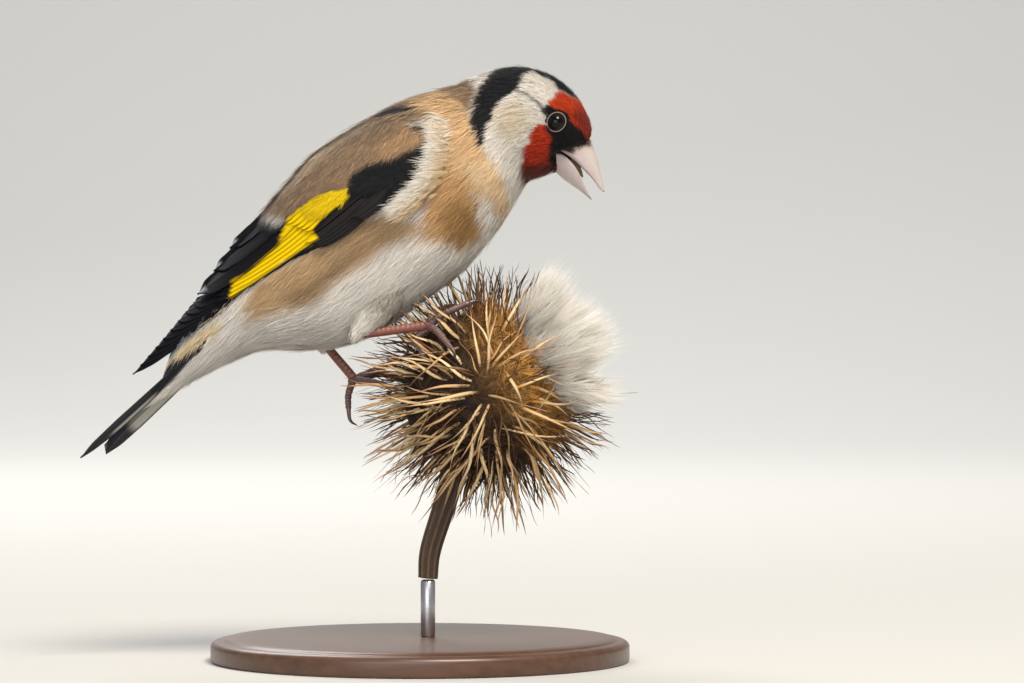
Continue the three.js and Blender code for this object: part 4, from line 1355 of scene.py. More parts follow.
    def coverts(self) -> list[bpy.types.Object]:
        """Soft scapulars, lesser and median coverts that lie over the arm.

        Returns:
            The new objects.
        """
        count = self.covert_fans
        s = self.rng.uniform(-1.5, 36.5, count)
        table = np.array(self.arm)
        upper = np.interp(s, table[:, 0], table[:, 1]) + 0.2 + 0.7 * smoothstep(6, 11, s)
        lower = np.interp(s, table[:, 0], table[:, 2])
        lower = np.where(s > 15, np.maximum(lower, np.interp(s, [15, 20, 36], [-3.4, -0.6, 1.0])), lower)
        h = lower + (upper - lower) * self.rng.uniform(0, 1, count)
        in_yellow = depth_inside(np.stack([s, h], axis=-1), YELLOW_BAR) > -0.3
        keep = ~(in_yellow & (s > 29))
        s, h = s[keep], h[keep]
        brown = smoothstep(-0.3, 1.2, h - np.interp(s, [0, 10, 20, 27, 36], [-1.5, 0.3, 2.6, 4.2, 3.6]))
        length = 3.0 + 2.0 * brown + self.rng.normal(0, 0.3, len(s))
        heading = self.rng.normal(0.0, 0.09, len(s)) - 0.1 - 0.3 * brown
        low = 1.5 + 0.9 * smoothstep(14, 22, s)
        high = low + 0.5 + self.rng.normal(0, 0.06, len(s))
        maker, fan = Coat(self.rng), length * 0.26
        strands = maker.grow(self.backwards, -s, h, heading, length, fan, 0.14, low, high, 8, 0.05)
        base = self.colours(*wing_frame(strands["line"][:, 1:3].mean(axis=1)))
        pale = self.rng.normal(0, 1, len(s))[strands["fan"]] * 0.6 + self.rng.normal(0, 1, len(base)) * 0.8
        base = base * np.exp(0.3 * pale * brown[strands["fan"]])[:, None]
        colours = maker.shade(base, strands, 0.66, 0.05, edge=0.06)
        return self.covert_pieces("coverts", strands, maker, colours)

    def fringe(self) -> list[bpy.types.Object]:
        """White breast feathers that lap over the wing's front edge.

        Returns:
            The new objects.
        """
        count = self.fringe_fans
        line = np.array([(-1.9, -0.4), (0.4, -3.2), (3.4, -6.2), (7.5, -8.3), (11.5, -9.0), (15.5, -9.0)])
        at = self.rng.uniform(0, 1, count)
        roots = catmull(line, at)
        forward = self.rng.normal(0, 0.7, count)
        s, h = roots[:, 0] + self.rng.normal(0, 0.5, count), roots[:, 1] - forward
        length = 2.2 + 1.5 * at + self.rng.normal(0, 0.6, count)
        heading = 0.62 - 0.36 * at + self.rng.normal(0, 0.13, count)
        high = 2.4 + self.rng.normal(0, 0.25, count)
        maker, fan = Coat(self.rng), length * 0.19
        strands = maker.grow(self.backwards, -s, h, heading, length, fan, 0.068, 0.9, high, 8, 0.14)
        buff = smoothstep(-0.2, 1.3, forward)[strands["fan"]][:, None]
        base = blend(*tones("#D9D3C7", "#D0B48C"), buff)
        return self.covert_pieces("fringe", strands, maker, maker.shade(base, strands, 0.8, 0.05))

    def backwards(self, u: Array, v: Array, lift: Array) -> Array:
        """Points over the wing by a first coordinate that falls towards its tip."""
        return self.place(-u, v, lift)

    def covert_pieces(self, name: str, strands: dict, maker: Coat, colours: Array) -> list[bpy.types.Object]:
        """Makes pieces of the wing's soft strands, whose bake map unrolls the wing's frame.

        Args:
            name: the pieces' own part of their name.
            strands: what grow returned.
            maker: the strands' maker.
            colours: a colour for each corner of each strand.

        Returns:
            The new objects.
        """
        bake_u = np.clip((4 - strands["u"]) / 45, 0, 1) * 0.98
        bake_v = np.clip((strands["v"] + 10) / 22, 0, 1) * 0.98
        return maker.pieces(f"wing_{name}_{self.side.word}", strands, colours, bake_u, bake_v)


@dataclass
class Tail:
    """Twelve tail feathers, forked and fanned, the near edge rolled up."""

    root: Point = (-38.0, 0.0, 70.6)
    dip: Point = (-0.722, 0.0, -0.692)
    roll: float = 24.0
    pairs: int = 6
    inner_length: float = 37.6
    outer_length: float = 42.4
    inner_out: float = 1.0
    outer_out: float = 5.0
    inner_root_out: float = 0.3
    root_out: float = 2.2
    far_out: float = 1.9
    far_short: float = 3.8
    half: float = 2.1
    step: float = 0.12
    thickness: float = 0.1
    stations: int = 60

    def build(self, vane: bpy.types.Material) -> None:
        """Makes the tail in one piece.

        Args:
            vane: the finish of its feathers.
        """
        parts = [self.feather(pair, side) for pair in range(self.pairs) for side in Side]
        dress(joined("tail_feathers", parts, VANE_MAP), vane, "tail_feather", "tail")

    def feather(self, pair: int, side: Side) -> tuple[Array, ...]:
        """One tail feather.

        Args:
            pair: its pair, counted from the middle of the tail.
            side: its side.

        Returns:
            Its corners, faces, colours and places on the vane map.
        """
        along = np.array(self.dip)
        below = unit(np.cross(along, np.array([0.0, 1.0, 0.0])))
        turn = math.radians(self.roll)
        across = np.array([0.0, math.cos(turn), 0.0]) + below * math.sin(turn)
        above = -unit(np.cross(along, across))
        far, share = side is Side.LEFT, pair / (self.pairs - 1)
        root_out = side.value * blend(self.inner_root_out, self.root_out, share)
        tip_out = side.value * blend(self.inner_out, self.far_out if far else self.outer_out, share)
        length = blend(self.inner_length, self.outer_length, share) - (self.far_short * share if far else 0.0)
        q = np.array([-1, -0.9, -0.7, -0.4, -0.08, 0, 0.08, 0.4, 0.7, 0.9, 1.0])
        t = np.linspace(0, 1, self.stations)
        shape = np.interp(t, [0, 0.3, 0.75, 0.9, 1], [0.5, 0.95, 1.0, 0.8, 0.25])
        round_tip = np.sqrt(np.clip((1 - t) * length / (self.half * 1.2), 0, 1))
        wide = q * (self.half * shape * np.maximum(round_tip, 0.1))[:, None]
        spread = blend(root_out, tip_out, t)[:, None] + wide
        raised = 0.12 * (1 - q**2) + np.where(np.abs(q) < 0.05, 0.1, 0.0) - self.step * (2 * pair + far)
        top = np.array(self.root) + (length * t)[:, None, None] * along + spread[..., None] * across
        top = top + raised[:, None] * above
        upper, lower = self.colours(t, q, share, side)
        return feather_plate(top, top - above * self.thickness, upper, lower, wide, t * length)

    def colours(self, t: Array, q: Array, share: float, side: Side) -> tuple[Array, Array]:
        """The colours of one tail feather.

        Args:
            t: places along it.
            q: places across it.
            share: from 0 for the middle pair to 1 for the outer one.
            side: its side.

        Returns:
            The linear colours of its upper and its lower face.
        """
        black, grey, white = tones("#121218", "#5E5D62", "#B4B3AA")
        shape = (len(t), len(q), 3)
        upper = np.broadcast_to(black, shape).copy()
        lower = np.broadcast_to(blend(black, grey, 0.25), shape).copy()
        outer = q * side.value
        web = smoothstep(0.9, 0.6, outer) if side is Side.LEFT else smoothstep(-0.45, -0.7, outer)
        marked = share > (0.1 if side is Side.LEFT else 0.6)
        patch = smoothstep(0.3, 0.42, t) * smoothstep(0.84, 0.77, t) * (1.0 if marked else 0.0)
        patch = patch[:, None] * web[None, :]
        tip = smoothstep(0.975, 0.995, t)[:, None] * np.where(np.abs(q) < 0.8, 1.0, 0.3)[None, :]
        tip = tip * (1.0 if share < 0.5 else 0.2)
        edge = smoothstep(0.85, 0.98, np.abs(q))[None, :] * np.ones(len(t))[:, None]
        for face in (upper, lower):
            face += (white - face) * np.clip(patch + tip, 0, 1)[..., None]
            face += (grey - face) * (edge * 0.5)[..., None]
        return upper, lower


@dataclass
class Bill:
    """The pale horn bill, slightly open, with its ridge, cutting edges and nostril bristles."""

    rng: np.random.Generator
    # Each station: ridge x, ridge z, edge x, edge z, half width
    upper: list[tuple[float, ...]] = field(default_factory=lambda: [
        (32.6, 108.2, 26.6, 105.6, 3.7), (34.4, 106.9, 29.1, 104.5, 3.65), (35.4, 105.0, 31.6, 102.7, 3.1),
        (36.2, 102.7, 33.4, 100.9, 2.4), (36.9, 100.0, 35.2, 99.1, 1.5), (37.5, 97.6, 36.6, 97.2, 0.7),
        (37.8, 96.3, 37.6, 96.2, 0.1),
    ])
    lower: list[tuple[float, ...]] = field(default_factory=lambda: [
        (24.6, 102.4, 25.4, 104.0, 3.4), (27.2, 101.0, 28.9, 104.0, 3.5), (29.6, 98.9, 31.2, 102.1, 3.0),
        (31.4, 97.6, 32.5, 100.2, 2.3), (33.0, 96.4, 33.5, 98.0, 1.5), (34.4, 95.2, 34.5, 96.0, 0.75),
        (35.4, 94.4, 35.35, 94.4, 0.1),
    ])
    bristle_fans: int = 240

    def build(self, soft: bpy.types.Material) -> None:
        """Makes both halves of the bill, the tongue and the bristles.

        Args:
            soft: the finish of the bristles at the nostrils.
        """
        horn = BILL_HORN.build()
        dress(self.mandible("bill_horn_upper", self.upper), horn, "bill_horn", "bill_upper")
        dress(self.mandible("bill_horn_lower", self.lower), horn, "bill_horn", "bill_lower")
        dress(self.tongue(), horn, "bill_horn")
        for piece in self.bristles():
            dress(piece, soft, "head_feather")

    def tongue(self) -> bpy.types.Object:
        """The floor of the mouth with the tongue, seen between the mandibles, darkened with painted shade
        towards the back.

        Returns:
            The new object.
        """
        t = np.linspace(0, 1, 20)
        knots = np.array([(26.8, 0, 103.6), (29.6, 0, 103.4), (31.8, 0, 101.9), (33.4, 0, 99.2)])
        radius = 1.3 * (1 - 0.98 * t) ** 0.7
        points, faces = lofted(tube_rings(catmull(knots, t), radius, 20, 1.3))
        # Painted shade: dark at the back of the mouth, the tongue's olive towards its tip
        reach = smoothstep(28.5, 33.0, points[:, 0])[:, None]
        return make_mesh("bill_tongue", points, faces, blend(*tones("#2A1E16", "#7A6C48"), reach))

    def mandible(self, name: str, rows: list[tuple[float, ...]]) -> bpy.types.Object:
        """One half of the bill, with a hollow palate between its cutting edges.

        Args:
            name: the piece's name.
            rows: its stations.

        Returns:
            The new object.
        """
        long, arc, palate = 64, 25, 9
        t = np.linspace(0, 1, long)
        line = catmull(np.array(rows), t)
        ridge, edge, half = line[:, :2], line[:, 2:4], line[:, 4]
        rise = ridge - edge
        tall = np.linalg.norm(rise, axis=1)
        up = rise / np.maximum(tall, 1e-6)[:, None]
        turn = np.linspace(0, math.pi, arc)
        over = np.sin(turn) ** 0.85
        keel = 1 + 0.05 * np.exp(-(((turn - math.pi / 2) / 0.3) ** 2))
        flat = edge[:, None] + up[:, None] * (tall[:, None] * over * keel)[..., None]
        y = half[:, None] * np.cos(turn) * (1 - 0.12 * over)
        outer = np.stack([flat[..., 0], y, flat[..., 1]], axis=-1)
        back = np.linspace(1, -1, palate + 2)[1:-1]
        hollow = edge[:, None] + up[:, None] * (tall[:, None] * 0.35 * (1 - back**2))[..., None]
        inner = np.stack([hollow[..., 0], -half[:, None] * back, hollow[..., 1]], axis=-1)
        rings = np.concatenate([outer, inner], axis=1)
        pale, pink, dark, mouth, cheek = tones("#BBAFA8", "#A4877F", "#332C2E", "#4A3F28", "#A08C93")
        along, none = t[:, None, None], np.zeros(palate)
        keel_line = np.exp(-(((turn - math.pi / 2) / 0.12) ** 2))
        layers = (
            (pink, 0.35 * smoothstep(0.5, 0.1, along)),
            (dark, 0.9 * smoothstep(0.8 if "lower" in name else 0.93, 1.0, along)),
            (mouth, 0.9 * np.append(np.zeros(arc), np.ones(palate))[:, None]),
            (cheek, 0.5 * np.append(np.abs(np.cos(turn)) ** 6, none)[:, None]),
            (dark, 0.35 * np.append(keel_line, none)[:, None] * smoothstep(0.3, 0.9, along)),
        )
        shade = np.broadcast_to(pale, rings.shape)
        for colour, amount in layers:
            shade = blend(shade, colour, amount)
        return make_mesh(name, *lofted(rings), with_hubs(shade))

    def around(self, u: Array, v: Array, lift: Array) -> Array:
        """Points round the upper half of the bill.

        Args:
            u: from 0 at its root to -1 at its tip.
            v: the angle round it, from its left edge over the ridge.
            lift: how far outside it.

        Returns:
            One point for each place.
        """
        line = catmull(np.array(self.upper), np.clip(-u, 0, 1))
        ridge, edge, half = line[..., :2], line[..., 2:4], line[..., 4]
        rise = np.sin(v)[..., None]
        flat = edge + (ridge - edge) * rise + unit(ridge - edge) * lift[..., None] * rise
        return np.stack([flat[..., 0], (half + lift) * np.cos(v), flat[..., 1]], axis=-1)

    def bristles(self) -> list[bpy.types.Object]:
        """Short stiff bristles that cover the nostrils and frame the root of the bill.

        Returns:
            The new objects.
        """
        count = self.bristle_fans
        u = self.rng.uniform(0.02, 0.16, count)
        v = self.rng.uniform(0.1, math.pi - 0.1, count)
        heading, length = self.rng.normal(0, 0.25, count), self.rng.uniform(1.0, 2.0, count)
        maker = Coat(self.rng)
        strands = maker.grow(self.around, -u, v, heading, length, 0.3, 0.09, -0.1, 0.3, 4, 0.2)
        top = np.abs(np.sin(strands["v"])) > 0.75
        dark, buff = tones("#120D0C", "#7D5B3C")
        pick = self.rng.uniform(0, 1, len(top)) < np.where(top, 0.45, 0.15)
        colours = maker.shade(np.where(pick[:, None], buff, dark), strands, 0.7, 0.1)
        return maker.pieces("nasal_bristles", strands, colours, strands["u"] * -0.9, strands["v"] / 4)


@dataclass(frozen=True)
class Toe:
    """One toe: its joints after the ball of the foot, and the reach of its claw."""

    name: str
    joints: tuple[Point, ...]
    claw: Point


@dataclass
class Leg:
    """A leg: feathered thigh, scaled shank and toes, and horn claws."""

    side: Side
    rng: np.random.Generator
    knee: Point
    heel: Point
    shank_end: Point
    ball: Point
    toes: tuple[Toe, ...]
    thigh_radii: tuple[float, ...] = (3.0, 4.3, 3.6, 1.3)
    shank_radius: float = 0.8
    toe_radius: float = 0.72
    toe_tip: float = 0.54
    claw_root: float = 0.46
    scute_mm: float = 1.0
    toe_scute_mm: float = 0.62
    thigh_fans: int = 900
    # The skin, the gaps between scutes and the painted highlight on their edges
    shank_tones: tuple[str, ...] = ("#74463A", "#4A3029", "#9C7262")
    toe_tones: tuple[str, ...] = ("#5F4743", "#3A2B2B", "#8C736B")

    def build(self, scales: bpy.types.Material, horn: bpy.types.Material, soft: bpy.types.Material) -> None:
        """Makes the leg's pieces.

        Args:
            scales: the finish of the shank and toes.
            horn: the finish of the claws.
            soft: the finish of the thigh's coat.
        """
        word = self.side.word
        claws = [f"claw_{word}_{toe.name}" for toe in self.toes]
        dress(self.scaled(), scales, "leg_scale", f"shank_{word}", f"foot_{word}")
        dress(self.claws(), horn, "claw", *claws)
        dress(self.thigh_skin(), soft, "body_feather", f"thigh_{word}")
        for piece in self.thigh_coat():
            dress(piece, soft, "body_feather")

    def scaled(self) -> bpy.types.Object:
        """Shank, ball and toes with overlapping scutes on their upper side.

        Returns:
            The new object.
        """
        ball, heel, end = np.array(self.ball), np.array(self.heel), np.array(self.shank_end)
        into = heel + unit(heel - end) * 1.2
        shank = np.array([into, heel, (heel + end) / 2, end, ball])
        parts = [self.limb(shank, self.shank_radius, self.shank_radius * 1.1, True)]
        for toe in self.toes:
            parts.append(self.limb(np.array([ball, *toe.joints]), self.toe_radius, self.toe_tip, False))
        return joined(f"scaled_leg_{self.side.word}", parts)

    def limb(self, knots: Array, start: float, stop: float, shank: bool) -> tuple[Array, ...]:
        """The shank or one toe.

        Args:
            knots: points along it.
            start: its radius at the first.
            stop: its radius at the last.
            shank: whether it is the shank, with longer scutes and thick ends, or a toe with pads.

        Returns:
            Its corners, faces and colours.
        """
        t, turn = np.linspace(0, 1, 90), circle(24)
        path = catmull(knots, t)
        distance = np.append(0, np.cumsum(np.linalg.norm(np.diff(path, axis=0), axis=1)))[:, None]
        saw = distance / (self.scute_mm if shank else self.toe_scute_mm) % 1
        front = smoothstep(-0.2, 0.5, np.sin(turn))
        plates = front * (0.06 * saw**1.5 - 0.06 * smoothstep(0.88, 1.0, saw))
        grains = (1 - front) * 0.05 * np.sin(distance * 9 + 3 * np.sin(turn * 5))
        pads = 0.0 if shank else 0.1 * np.cos(t * math.pi * 5)[:, None] ** 2
        radius = blend(start, stop, t)[:, None] * (1 + pads + plates + grains)
        if shank:
            ends = 0.22 * smoothstep(0.16, 0.04, t) + 0.35 * smoothstep(0.85, 1.0, t)
            radius = radius * (1 + ends)[:, None]
        skin, dark, light = tones(*(self.shank_tones if shank else self.toe_tones))
        # Painted highlight along the edge of each scute on the front of the leg
        glow = (front * smoothstep(0.45, 0.85, saw) * smoothstep(1.0, 0.93, saw))[..., None]
        gap = (smoothstep(0.9, 0.98, saw) * front)[..., None]
        shade = skin + (light - skin) * glow * 0.75 + (dark - skin) * gap * 0.9
        shade = shade * (1 + 0.08 * self.rng.normal(0, 1, (len(t), len(turn), 1)))
        return *lofted(tube_rings(path, radius, len(turn), 1.08)), np.clip(with_hubs(shade), 0, 1)

    def claws(self) -> bpy.types.Object:
        """Curved claws, flattened at the sides, that grip the thistle.

        Returns:
            The new object.
        """
        parts = []
        t = np.linspace(0, 1, 26)
        mix = smoothstep(0.0, 0.7, t)[:, None, None]
        for toe in self.toes:
            knots, reach = np.array([self.ball, *toe.joints]), np.array(toe.claw)
            along = unit(np.diff(catmull(knots, np.array([0.97, 1.0])), axis=0))[0]
            root = knots[-1] - along * 0.25
            bend = root + along * np.linalg.norm(reach) * 0.5 + reach * 0.2
            path = catmull(np.array([root, bend, knots[-1] + reach]), t)
            rings = tube_rings(path, self.claw_root * (1 - t) ** 0.75 + 0.05, 14, 1.15)
            shade = np.broadcast_to(blend(*tones("#6B5450", "#241A19"), mix), rings.shape)
            parts.append((*lofted(rings), with_hubs(shade)))
        return joined(f"horn_claws_{self.side.word}", parts)

    def thigh_place(self, u: Array, v: Array, lift: Array) -> Array:
        """Points over the feathered thigh.

        Args:
            u: from 0 at the knee to -1 at the heel.
            v: the angle round it.
            lift: how far outside it.

        Returns:
            One point for each place.
        """
        down = np.clip(-u, 0, 1.12)
        knee, heel = np.array(self.knee), np.array(self.heel)
        axis = unit(heel - knee)
        side = unit(np.cross(axis, np.array([0.0, 1.0, 0.0])))
        other = np.cross(axis, side)
        radius = catmull(np.array(self.thigh_radii)[:, None], down)[..., 0] + lift
        centre = knee + (heel - knee) * down[..., None]
        return centre + side * (radius * np.cos(v))[..., None] + other * (radius * np.sin(v))[..., None]

    def thigh_skin(self) -> bpy.types.Object:
        """The closed form under the thigh's coat.

        Returns:
            The new object.
        """
        u, v = crossed(-np.linspace(0, 1, 40), circle(40))
        rings = self.thigh_place(u, v, np.full_like(u, -0.7))
        # Grey under the white coat: painted shade where the skin shows between the strands.
        return make_mesh(f"thigh_skin_{self.side.word}", *lofted(rings), "#A8A49B")

    def thigh_coat(self) -> list[bpy.types.Object]:
        """White, loose feathers that end in a ragged cuff at the heel, greyed with painted shade towards the
        knee, where the thigh goes under the belly.

        Returns:
            The new objects.
        """
        count = self.thigh_fans
        u = self.rng.uniform(0.1, 0.97, count)
        v = self.rng.uniform(0, 2 * math.pi, count)
        length = 3.2 + self.rng.normal(0, 0.5, count)
        heading = self.rng.normal(0, 0.15, count)
        maker, fan = Coat(self.rng), length * 0.22
        strands = maker.grow(self.thigh_place, -u, v, heading, length, fan, 0.13, -0.7, 0.0, 6, 0.15)
        # Painted shade: grey from the knee to nearly halfway down, white towards the heel
        white = smoothstep(0.45, 0.75, -strands["u"])[:, None]
        colours = maker.shade(blend(*tones("#A39B90", "#D2CCC1"), white), strands, 0.66, 0.06)
        name = f"thigh_coat_{self.side.word}"
        return maker.pieces(name, strands, colours, -strands["u"] * 0.9, strands["v"] / 6.5)


@dataclass
class ThistleHead:
    """The ripe thistle head: a round cup of long dry straps with white down in its mouth."""

    rng: np.random.Generator
    keep_clear: Clearance  # tells, for points, how far each is outside the bird
    centre: Point = (13.5, 0.0, 55.0)
    radius: float = 17.6
    lean: float = 62.0
    yaw: float = 10.0
    bracts: int = 820
    fibre_fans: int = 1900
    strap: float = 13.5
    mouth: float = 40.0
    base_angle: float = 168.0
    down_angle: float = 37.0
    down_reach: float = 24.8
    down_longest: float = 31.5
    down_root: float = 15.0
    wisps: int = 64
    wisp_hairs: int = 170
    short_hairs: int = 5000

    def build(self) -> None:
        """Makes the head's pieces."""
        bract, down = DRY_BRACT.build(), SEED_SILK.build()
        dress(self.core(), bract, "thistle_bract", "perch_head")
        dress(self.straps(), bract, "thistle_bract")
        for piece in self.fibres():
            dress(piece, bract, "thistle_bract")
        dress(self.down_core(), down, "thistle_down", "perch_down")
        for piece in self.down_hairs():
            dress(piece, down, "thistle_down")

    def frame(self) -> tuple[Array, Array, Array]:
        """The head's own directions.

        Returns:
            Its axis and two ways across it.
        """
        lean, yaw = math.radians(self.lean), math.radians(self.yaw)
        flat = math.sin(lean)
        axis = np.array([flat * math.cos(yaw), -flat * math.sin(yaw), math.cos(lean)])
        side = unit(np.cross(np.array([0.0, 0.0, 1.0]), axis))
        return axis, side, np.cross(axis, side)

    def way(self, angle: Array, turn: Array) -> Array:
        """Directions from the centre.

        Args:
            angle: the angle from the axis.
            turn: the turn round it.

        Returns:
            One direction for each place.
        """
        axis, side, rise = self.frame()
        ring = side * np.cos(turn)[..., None] + rise * np.sin(turn)[..., None]
        return axis * np.cos(angle)[..., None] + ring * np.sin(angle)[..., None]

    def over_cup(self, angle: Array, turn: Array, lift: Array) -> Array:
        """Points over the cup under the bracts, by angle, turn and height."""
        return np.array(self.centre) + self.way(np.abs(angle), turn) * (self.radius - 0.9 + lift)[..., None]

    def golden(self, out: Array) -> Array:
        """How far each direction lies in the golden band round the mouth."""
        return smoothstep(0.0, 0.6, out @ self.frame()[0])[..., None]

    def core(self) -> bpy.types.Object:
        """The dark cup under the bracts, knobbly with their roots.

        Returns:
            The new object.
        """
        angle, turn = crossed(np.linspace(0.55, math.pi - 0.02, 70), circle(96))
        bumps = 0.3 * np.sin(angle * 26 + turn * 3) * np.sin(turn * 20)
        points, faces = lofted(self.over_cup(angle, turn, bumps))
        gold = self.golden(unit(points - np.array(self.centre)))
        return make_mesh("thistle_cup", points, faces, blend(*tones("#1E130B", "#6A451B"), gold))

    def straps(self) -> bpy.types.Object:
        """All bracts: flat, twisted straps that run over the cup and curl away from it.

        Returns:
            The new object.
        """
        s = np.linspace(0, 1, 12)
        line, out, thin = self.strap_lines(s)
        rings = self.strap_rings(line, out, thin, s)
        rows, columns = rings.shape[1:3]
        each = np.arange(len(line))[:, None, None] * rows * columns
        ends = np.stack([np.arange(columns)[::-1], np.arange(columns) + (rows - 1) * columns])
        faces = [(grid_faces(rows, columns, True) + each).reshape(-1, 4), (ends + each).reshape(-1, columns)]
        colours = self.strap_colours(out, thin, s)
        return make_mesh("thistle_bracts", rings.reshape(-1, 3), faces, colours.reshape(-1, 3))

    def strap_lines(self, s: Array) -> tuple[Array, Array, Array]:
        """Scatters the bracts' middle lines evenly over the cup.

        Args:
            s: places along a bract, from 0 to 1.

        Returns:
            The points of each line, the way out of the cup at its root, and whether the bract is thin.
        """
        n = self.bracts
        high, low = math.cos(math.radians(self.mouth)), math.cos(math.radians(self.base_angle))
        i = np.arange(n)
        angle = np.arccos(high + (low - high) * (i + 0.5) / n)
        turn = i * math.pi * (3 - math.sqrt(5)) + self.rng.normal(0, 0.08, n)
        out, back = self.way(angle, turn), self.way(angle + math.pi / 2, turn)
        near_mouth = smoothstep(1.5, 0.85, angle)[:, None]
        spread = out * np.array([1.0, 0.0, 1.0])
        spread = unit(spread - out * (spread * out).sum(axis=-1, keepdims=True))
        drift = spread * 0.75 + back * 0.35 * (1 - near_mouth) + self.rng.normal(0, 0.3, (n, 3))
        drift = unit(drift - out * (drift * out).sum(axis=-1, keepdims=True))
        flat = 0.15 + 0.8 * smoothstep(0.25, 0.9, np.abs(out[:, 1])) * (1 + self.rng.normal(0, 0.08, n))
        flat = np.clip(flat, 0.1, 0.97)[:, None]
        thin = self.rng.uniform(0, 1, (n, 1)) < 0.78 - 0.5 * np.abs(out[:, 1:2]) + 0.3 * near_mouth
        length = self.strap * np.where(thin, 0.74, 1.0) * (1 + self.rng.normal(0, 0.16, (n, 1)))
        turned = length * flat * s / (self.radius + 2)
        rise = length * np.sqrt(1 - flat**2) * 0.8 * s**1.25
        rise = rise + (0.8 + 1.2 * near_mouth) * np.sin(s * math.pi * 0.8)
        bend = self.rng.normal(0, 0.9, (n, 1)) * s**2 + self.rng.normal(0, 0.22, (n, 1)) * np.sin(9 * s)
        ways = out[:, None] * np.cos(turned)[..., None] + drift[:, None] * np.sin(turned)[..., None]
        line = np.array(self.centre) + ways * (self.radius - 0.6 + rise)[..., None]
        line = line + np.cross(out, drift)[:, None] * bend[..., None]
        line, kept = self.clear_of(line)
        return line, out[kept], thin[kept]

    def strap_rings(self, line: Array, out: Array, thin: Array, s: Array) -> Array:
        """Sections of the bracts, which narrow and twist towards their tips.

        Args:
            line: each bract's middle line.
            out: the way out of the cup at its root.
            thin: whether the bract is thin.
            s: places along a bract, from 0 to 1.

        Returns:
            Corners by bract, by place along it and by place in the section.
        """
        n, way = len(line), unit(np.gradient(line, axis=1))
        wide = unit(np.cross(way, out[:, None]))
        deep = np.cross(wide, way)
        twist = self.rng.normal(0, 0.35, (n, 1)) + self.rng.normal(0, 1.5, (n, 1)) * s**1.4
        a, b = np.cos(twist)[..., None], np.sin(twist)[..., None]
        wide, deep = wide * a + deep * b, deep * a - wide * b
        half = np.interp(s, [0, 0.12, 0.5, 0.86, 1], [0.7, 1.0, 0.8, 0.45, 0.08])[:, None]
        size = half * (np.where(thin, 0.18, 0.33) * (1 + self.rng.normal(0, 0.15, (n, 1))))[..., None]
        section = [(1, 0.12), (0.45, 0.0), (0, 0.34), (-0.45, 0.0), (-1, 0.12), (0, -0.2)]
        return np.stack([line + wide * (size * w) + deep * (size * d) for w, d in section], axis=2)

    def strap_colours(self, out: Array, thin: Array, s: Array) -> Array:
        """Paints the bracts: straw with pink tips, the thin ones brown, and all golden at the mouth, with
        painted shade at their roots and undersides and a painted highlight on their ridges.

        Args:
            out: the way out of the cup at each bract's root.
            thin: whether the bract is thin.
            s: places along a bract, from 0 to 1.

        Returns:
            Linear colours by bract, by place along it and by place in the section.
        """
        n = len(out)
        straw, cream, pink, gold, dark, brown = tones(
            "#C79E6C", "#E0C596", "#A67A62", "#B4772A", "#3A2617", "#6E4C30"
        )
        pick = self.rng.uniform(0, 1, (n, 1, 1))
        fine = thin[..., None]
        blade = np.where(fine, blend(dark, brown, pick), blend(straw, cream, pick))
        # Painted shade: each bract darker at its root, except in the golden band round the mouth
        root = blend(blade * 0.8, gold, self.golden(out)[:, None])
        shade = blend(root, blade, smoothstep(0.05, 0.4, s)[:, None])
        shade = blend(shade, np.where(fine, dark, pink), 0.85 * smoothstep(0.4, 1.0, s)[:, None])
        shade = shade * (1 + self.rng.normal(0, 0.12, (n, 1, 1)))
        # Painted light and shade across each bract: a painted highlight on its ridge, painted shade on its
        # underside
        ridge = np.array([1.0, 0.85, 1.1, 0.85, 1.0, 0.6])[:, None]
        return np.clip(shade[:, :, None] * ridge, 0, 1)

    def fibres(self) -> list[bpy.types.Object]:
        """Fine dry fibres between the straps, golden round the mouth.

        Returns:
            The new objects.
        """
        low, high = math.cos(math.radians(self.mouth)), math.cos(math.radians(160))
        angle = np.arccos(low - (low - high) * self.rng.uniform(0, 1, self.fibre_fans) ** 1.2)
        turn = self.rng.uniform(0, 2 * math.pi, self.fibre_fans)
        keep = self.keep_clear(self.over_cup(angle, turn, np.ones_like(angle))) > 1.5
        angle, turn = angle[keep], turn[keep]
        count = len(angle)
        heading, length = self.rng.normal(0, 0.9, count), self.rng.uniform(2.5, 5.5, count)
        tips = self.rng.uniform(0.3, 1.4, count)
        maker = Coat(self.rng)
        strands = maker.grow(self.over_cup, angle, turn, heading, length, 1.1, 0.11, 0.0, tips, 7, 0.3)
        warm = self.golden(self.way(strands["u"], strands["v"]))
        colours = maker.shade(blend(*tones("#4A3320", "#B08040"), warm), strands, 0.5, 0.34)
        return maker.pieces("thistle_fibres", strands, colours, strands["u"] * 0.3, strands["v"] / 6.5)

    def clear_of(self, line: Array) -> tuple[Array, Array]:
        """Presses lines down where they would enter the bird and drops those that still do.

        Args:
            line: the points of each line.

        Returns:
            The lines that are left, and which of all lines they are.
        """
        centre = np.array(self.centre)
        for _ in range(4):
            gap = self.keep_clear(line.reshape(-1, 3)).reshape(line.shape[:2])
            push = np.clip(0.5 - gap, 0, 3)[..., None]
            line = line - unit(line - centre) * push * np.linspace(0, 1, line.shape[1])[None, :, None]
        gap = self.keep_clear(line.reshape(-1, 3)).reshape(line.shape[:2])
        kept = (gap > -0.15).all(axis=1)
        return line[kept], kept

    def down_core(self) -> bpy.types.Object:
        """The thick middle of the down, soft and rounded, greyer than the hairs: painted shade that shows
        between the wisps.

        Returns:
            The new object.
        """
        angle, turn = crossed(np.linspace(0.02, 0.86, 40), circle(64))
        out = self.way(angle, turn)
        dome = 18.0 - 3.6 * (angle / 0.86) ** 2
        soft = 0.4 * np.sin(turn * 9 + angle * 12) * np.sin(angle * 3)
        rings = np.concatenate([out * (dome + soft)[..., None], out[-1:] * 12.0])
        # Painted shade: greyer than the hairs, to show as depth between the wisps
        return make_mesh("thistle_down_core", *lofted(np.array(self.centre) + rings), "#BDB3A0")

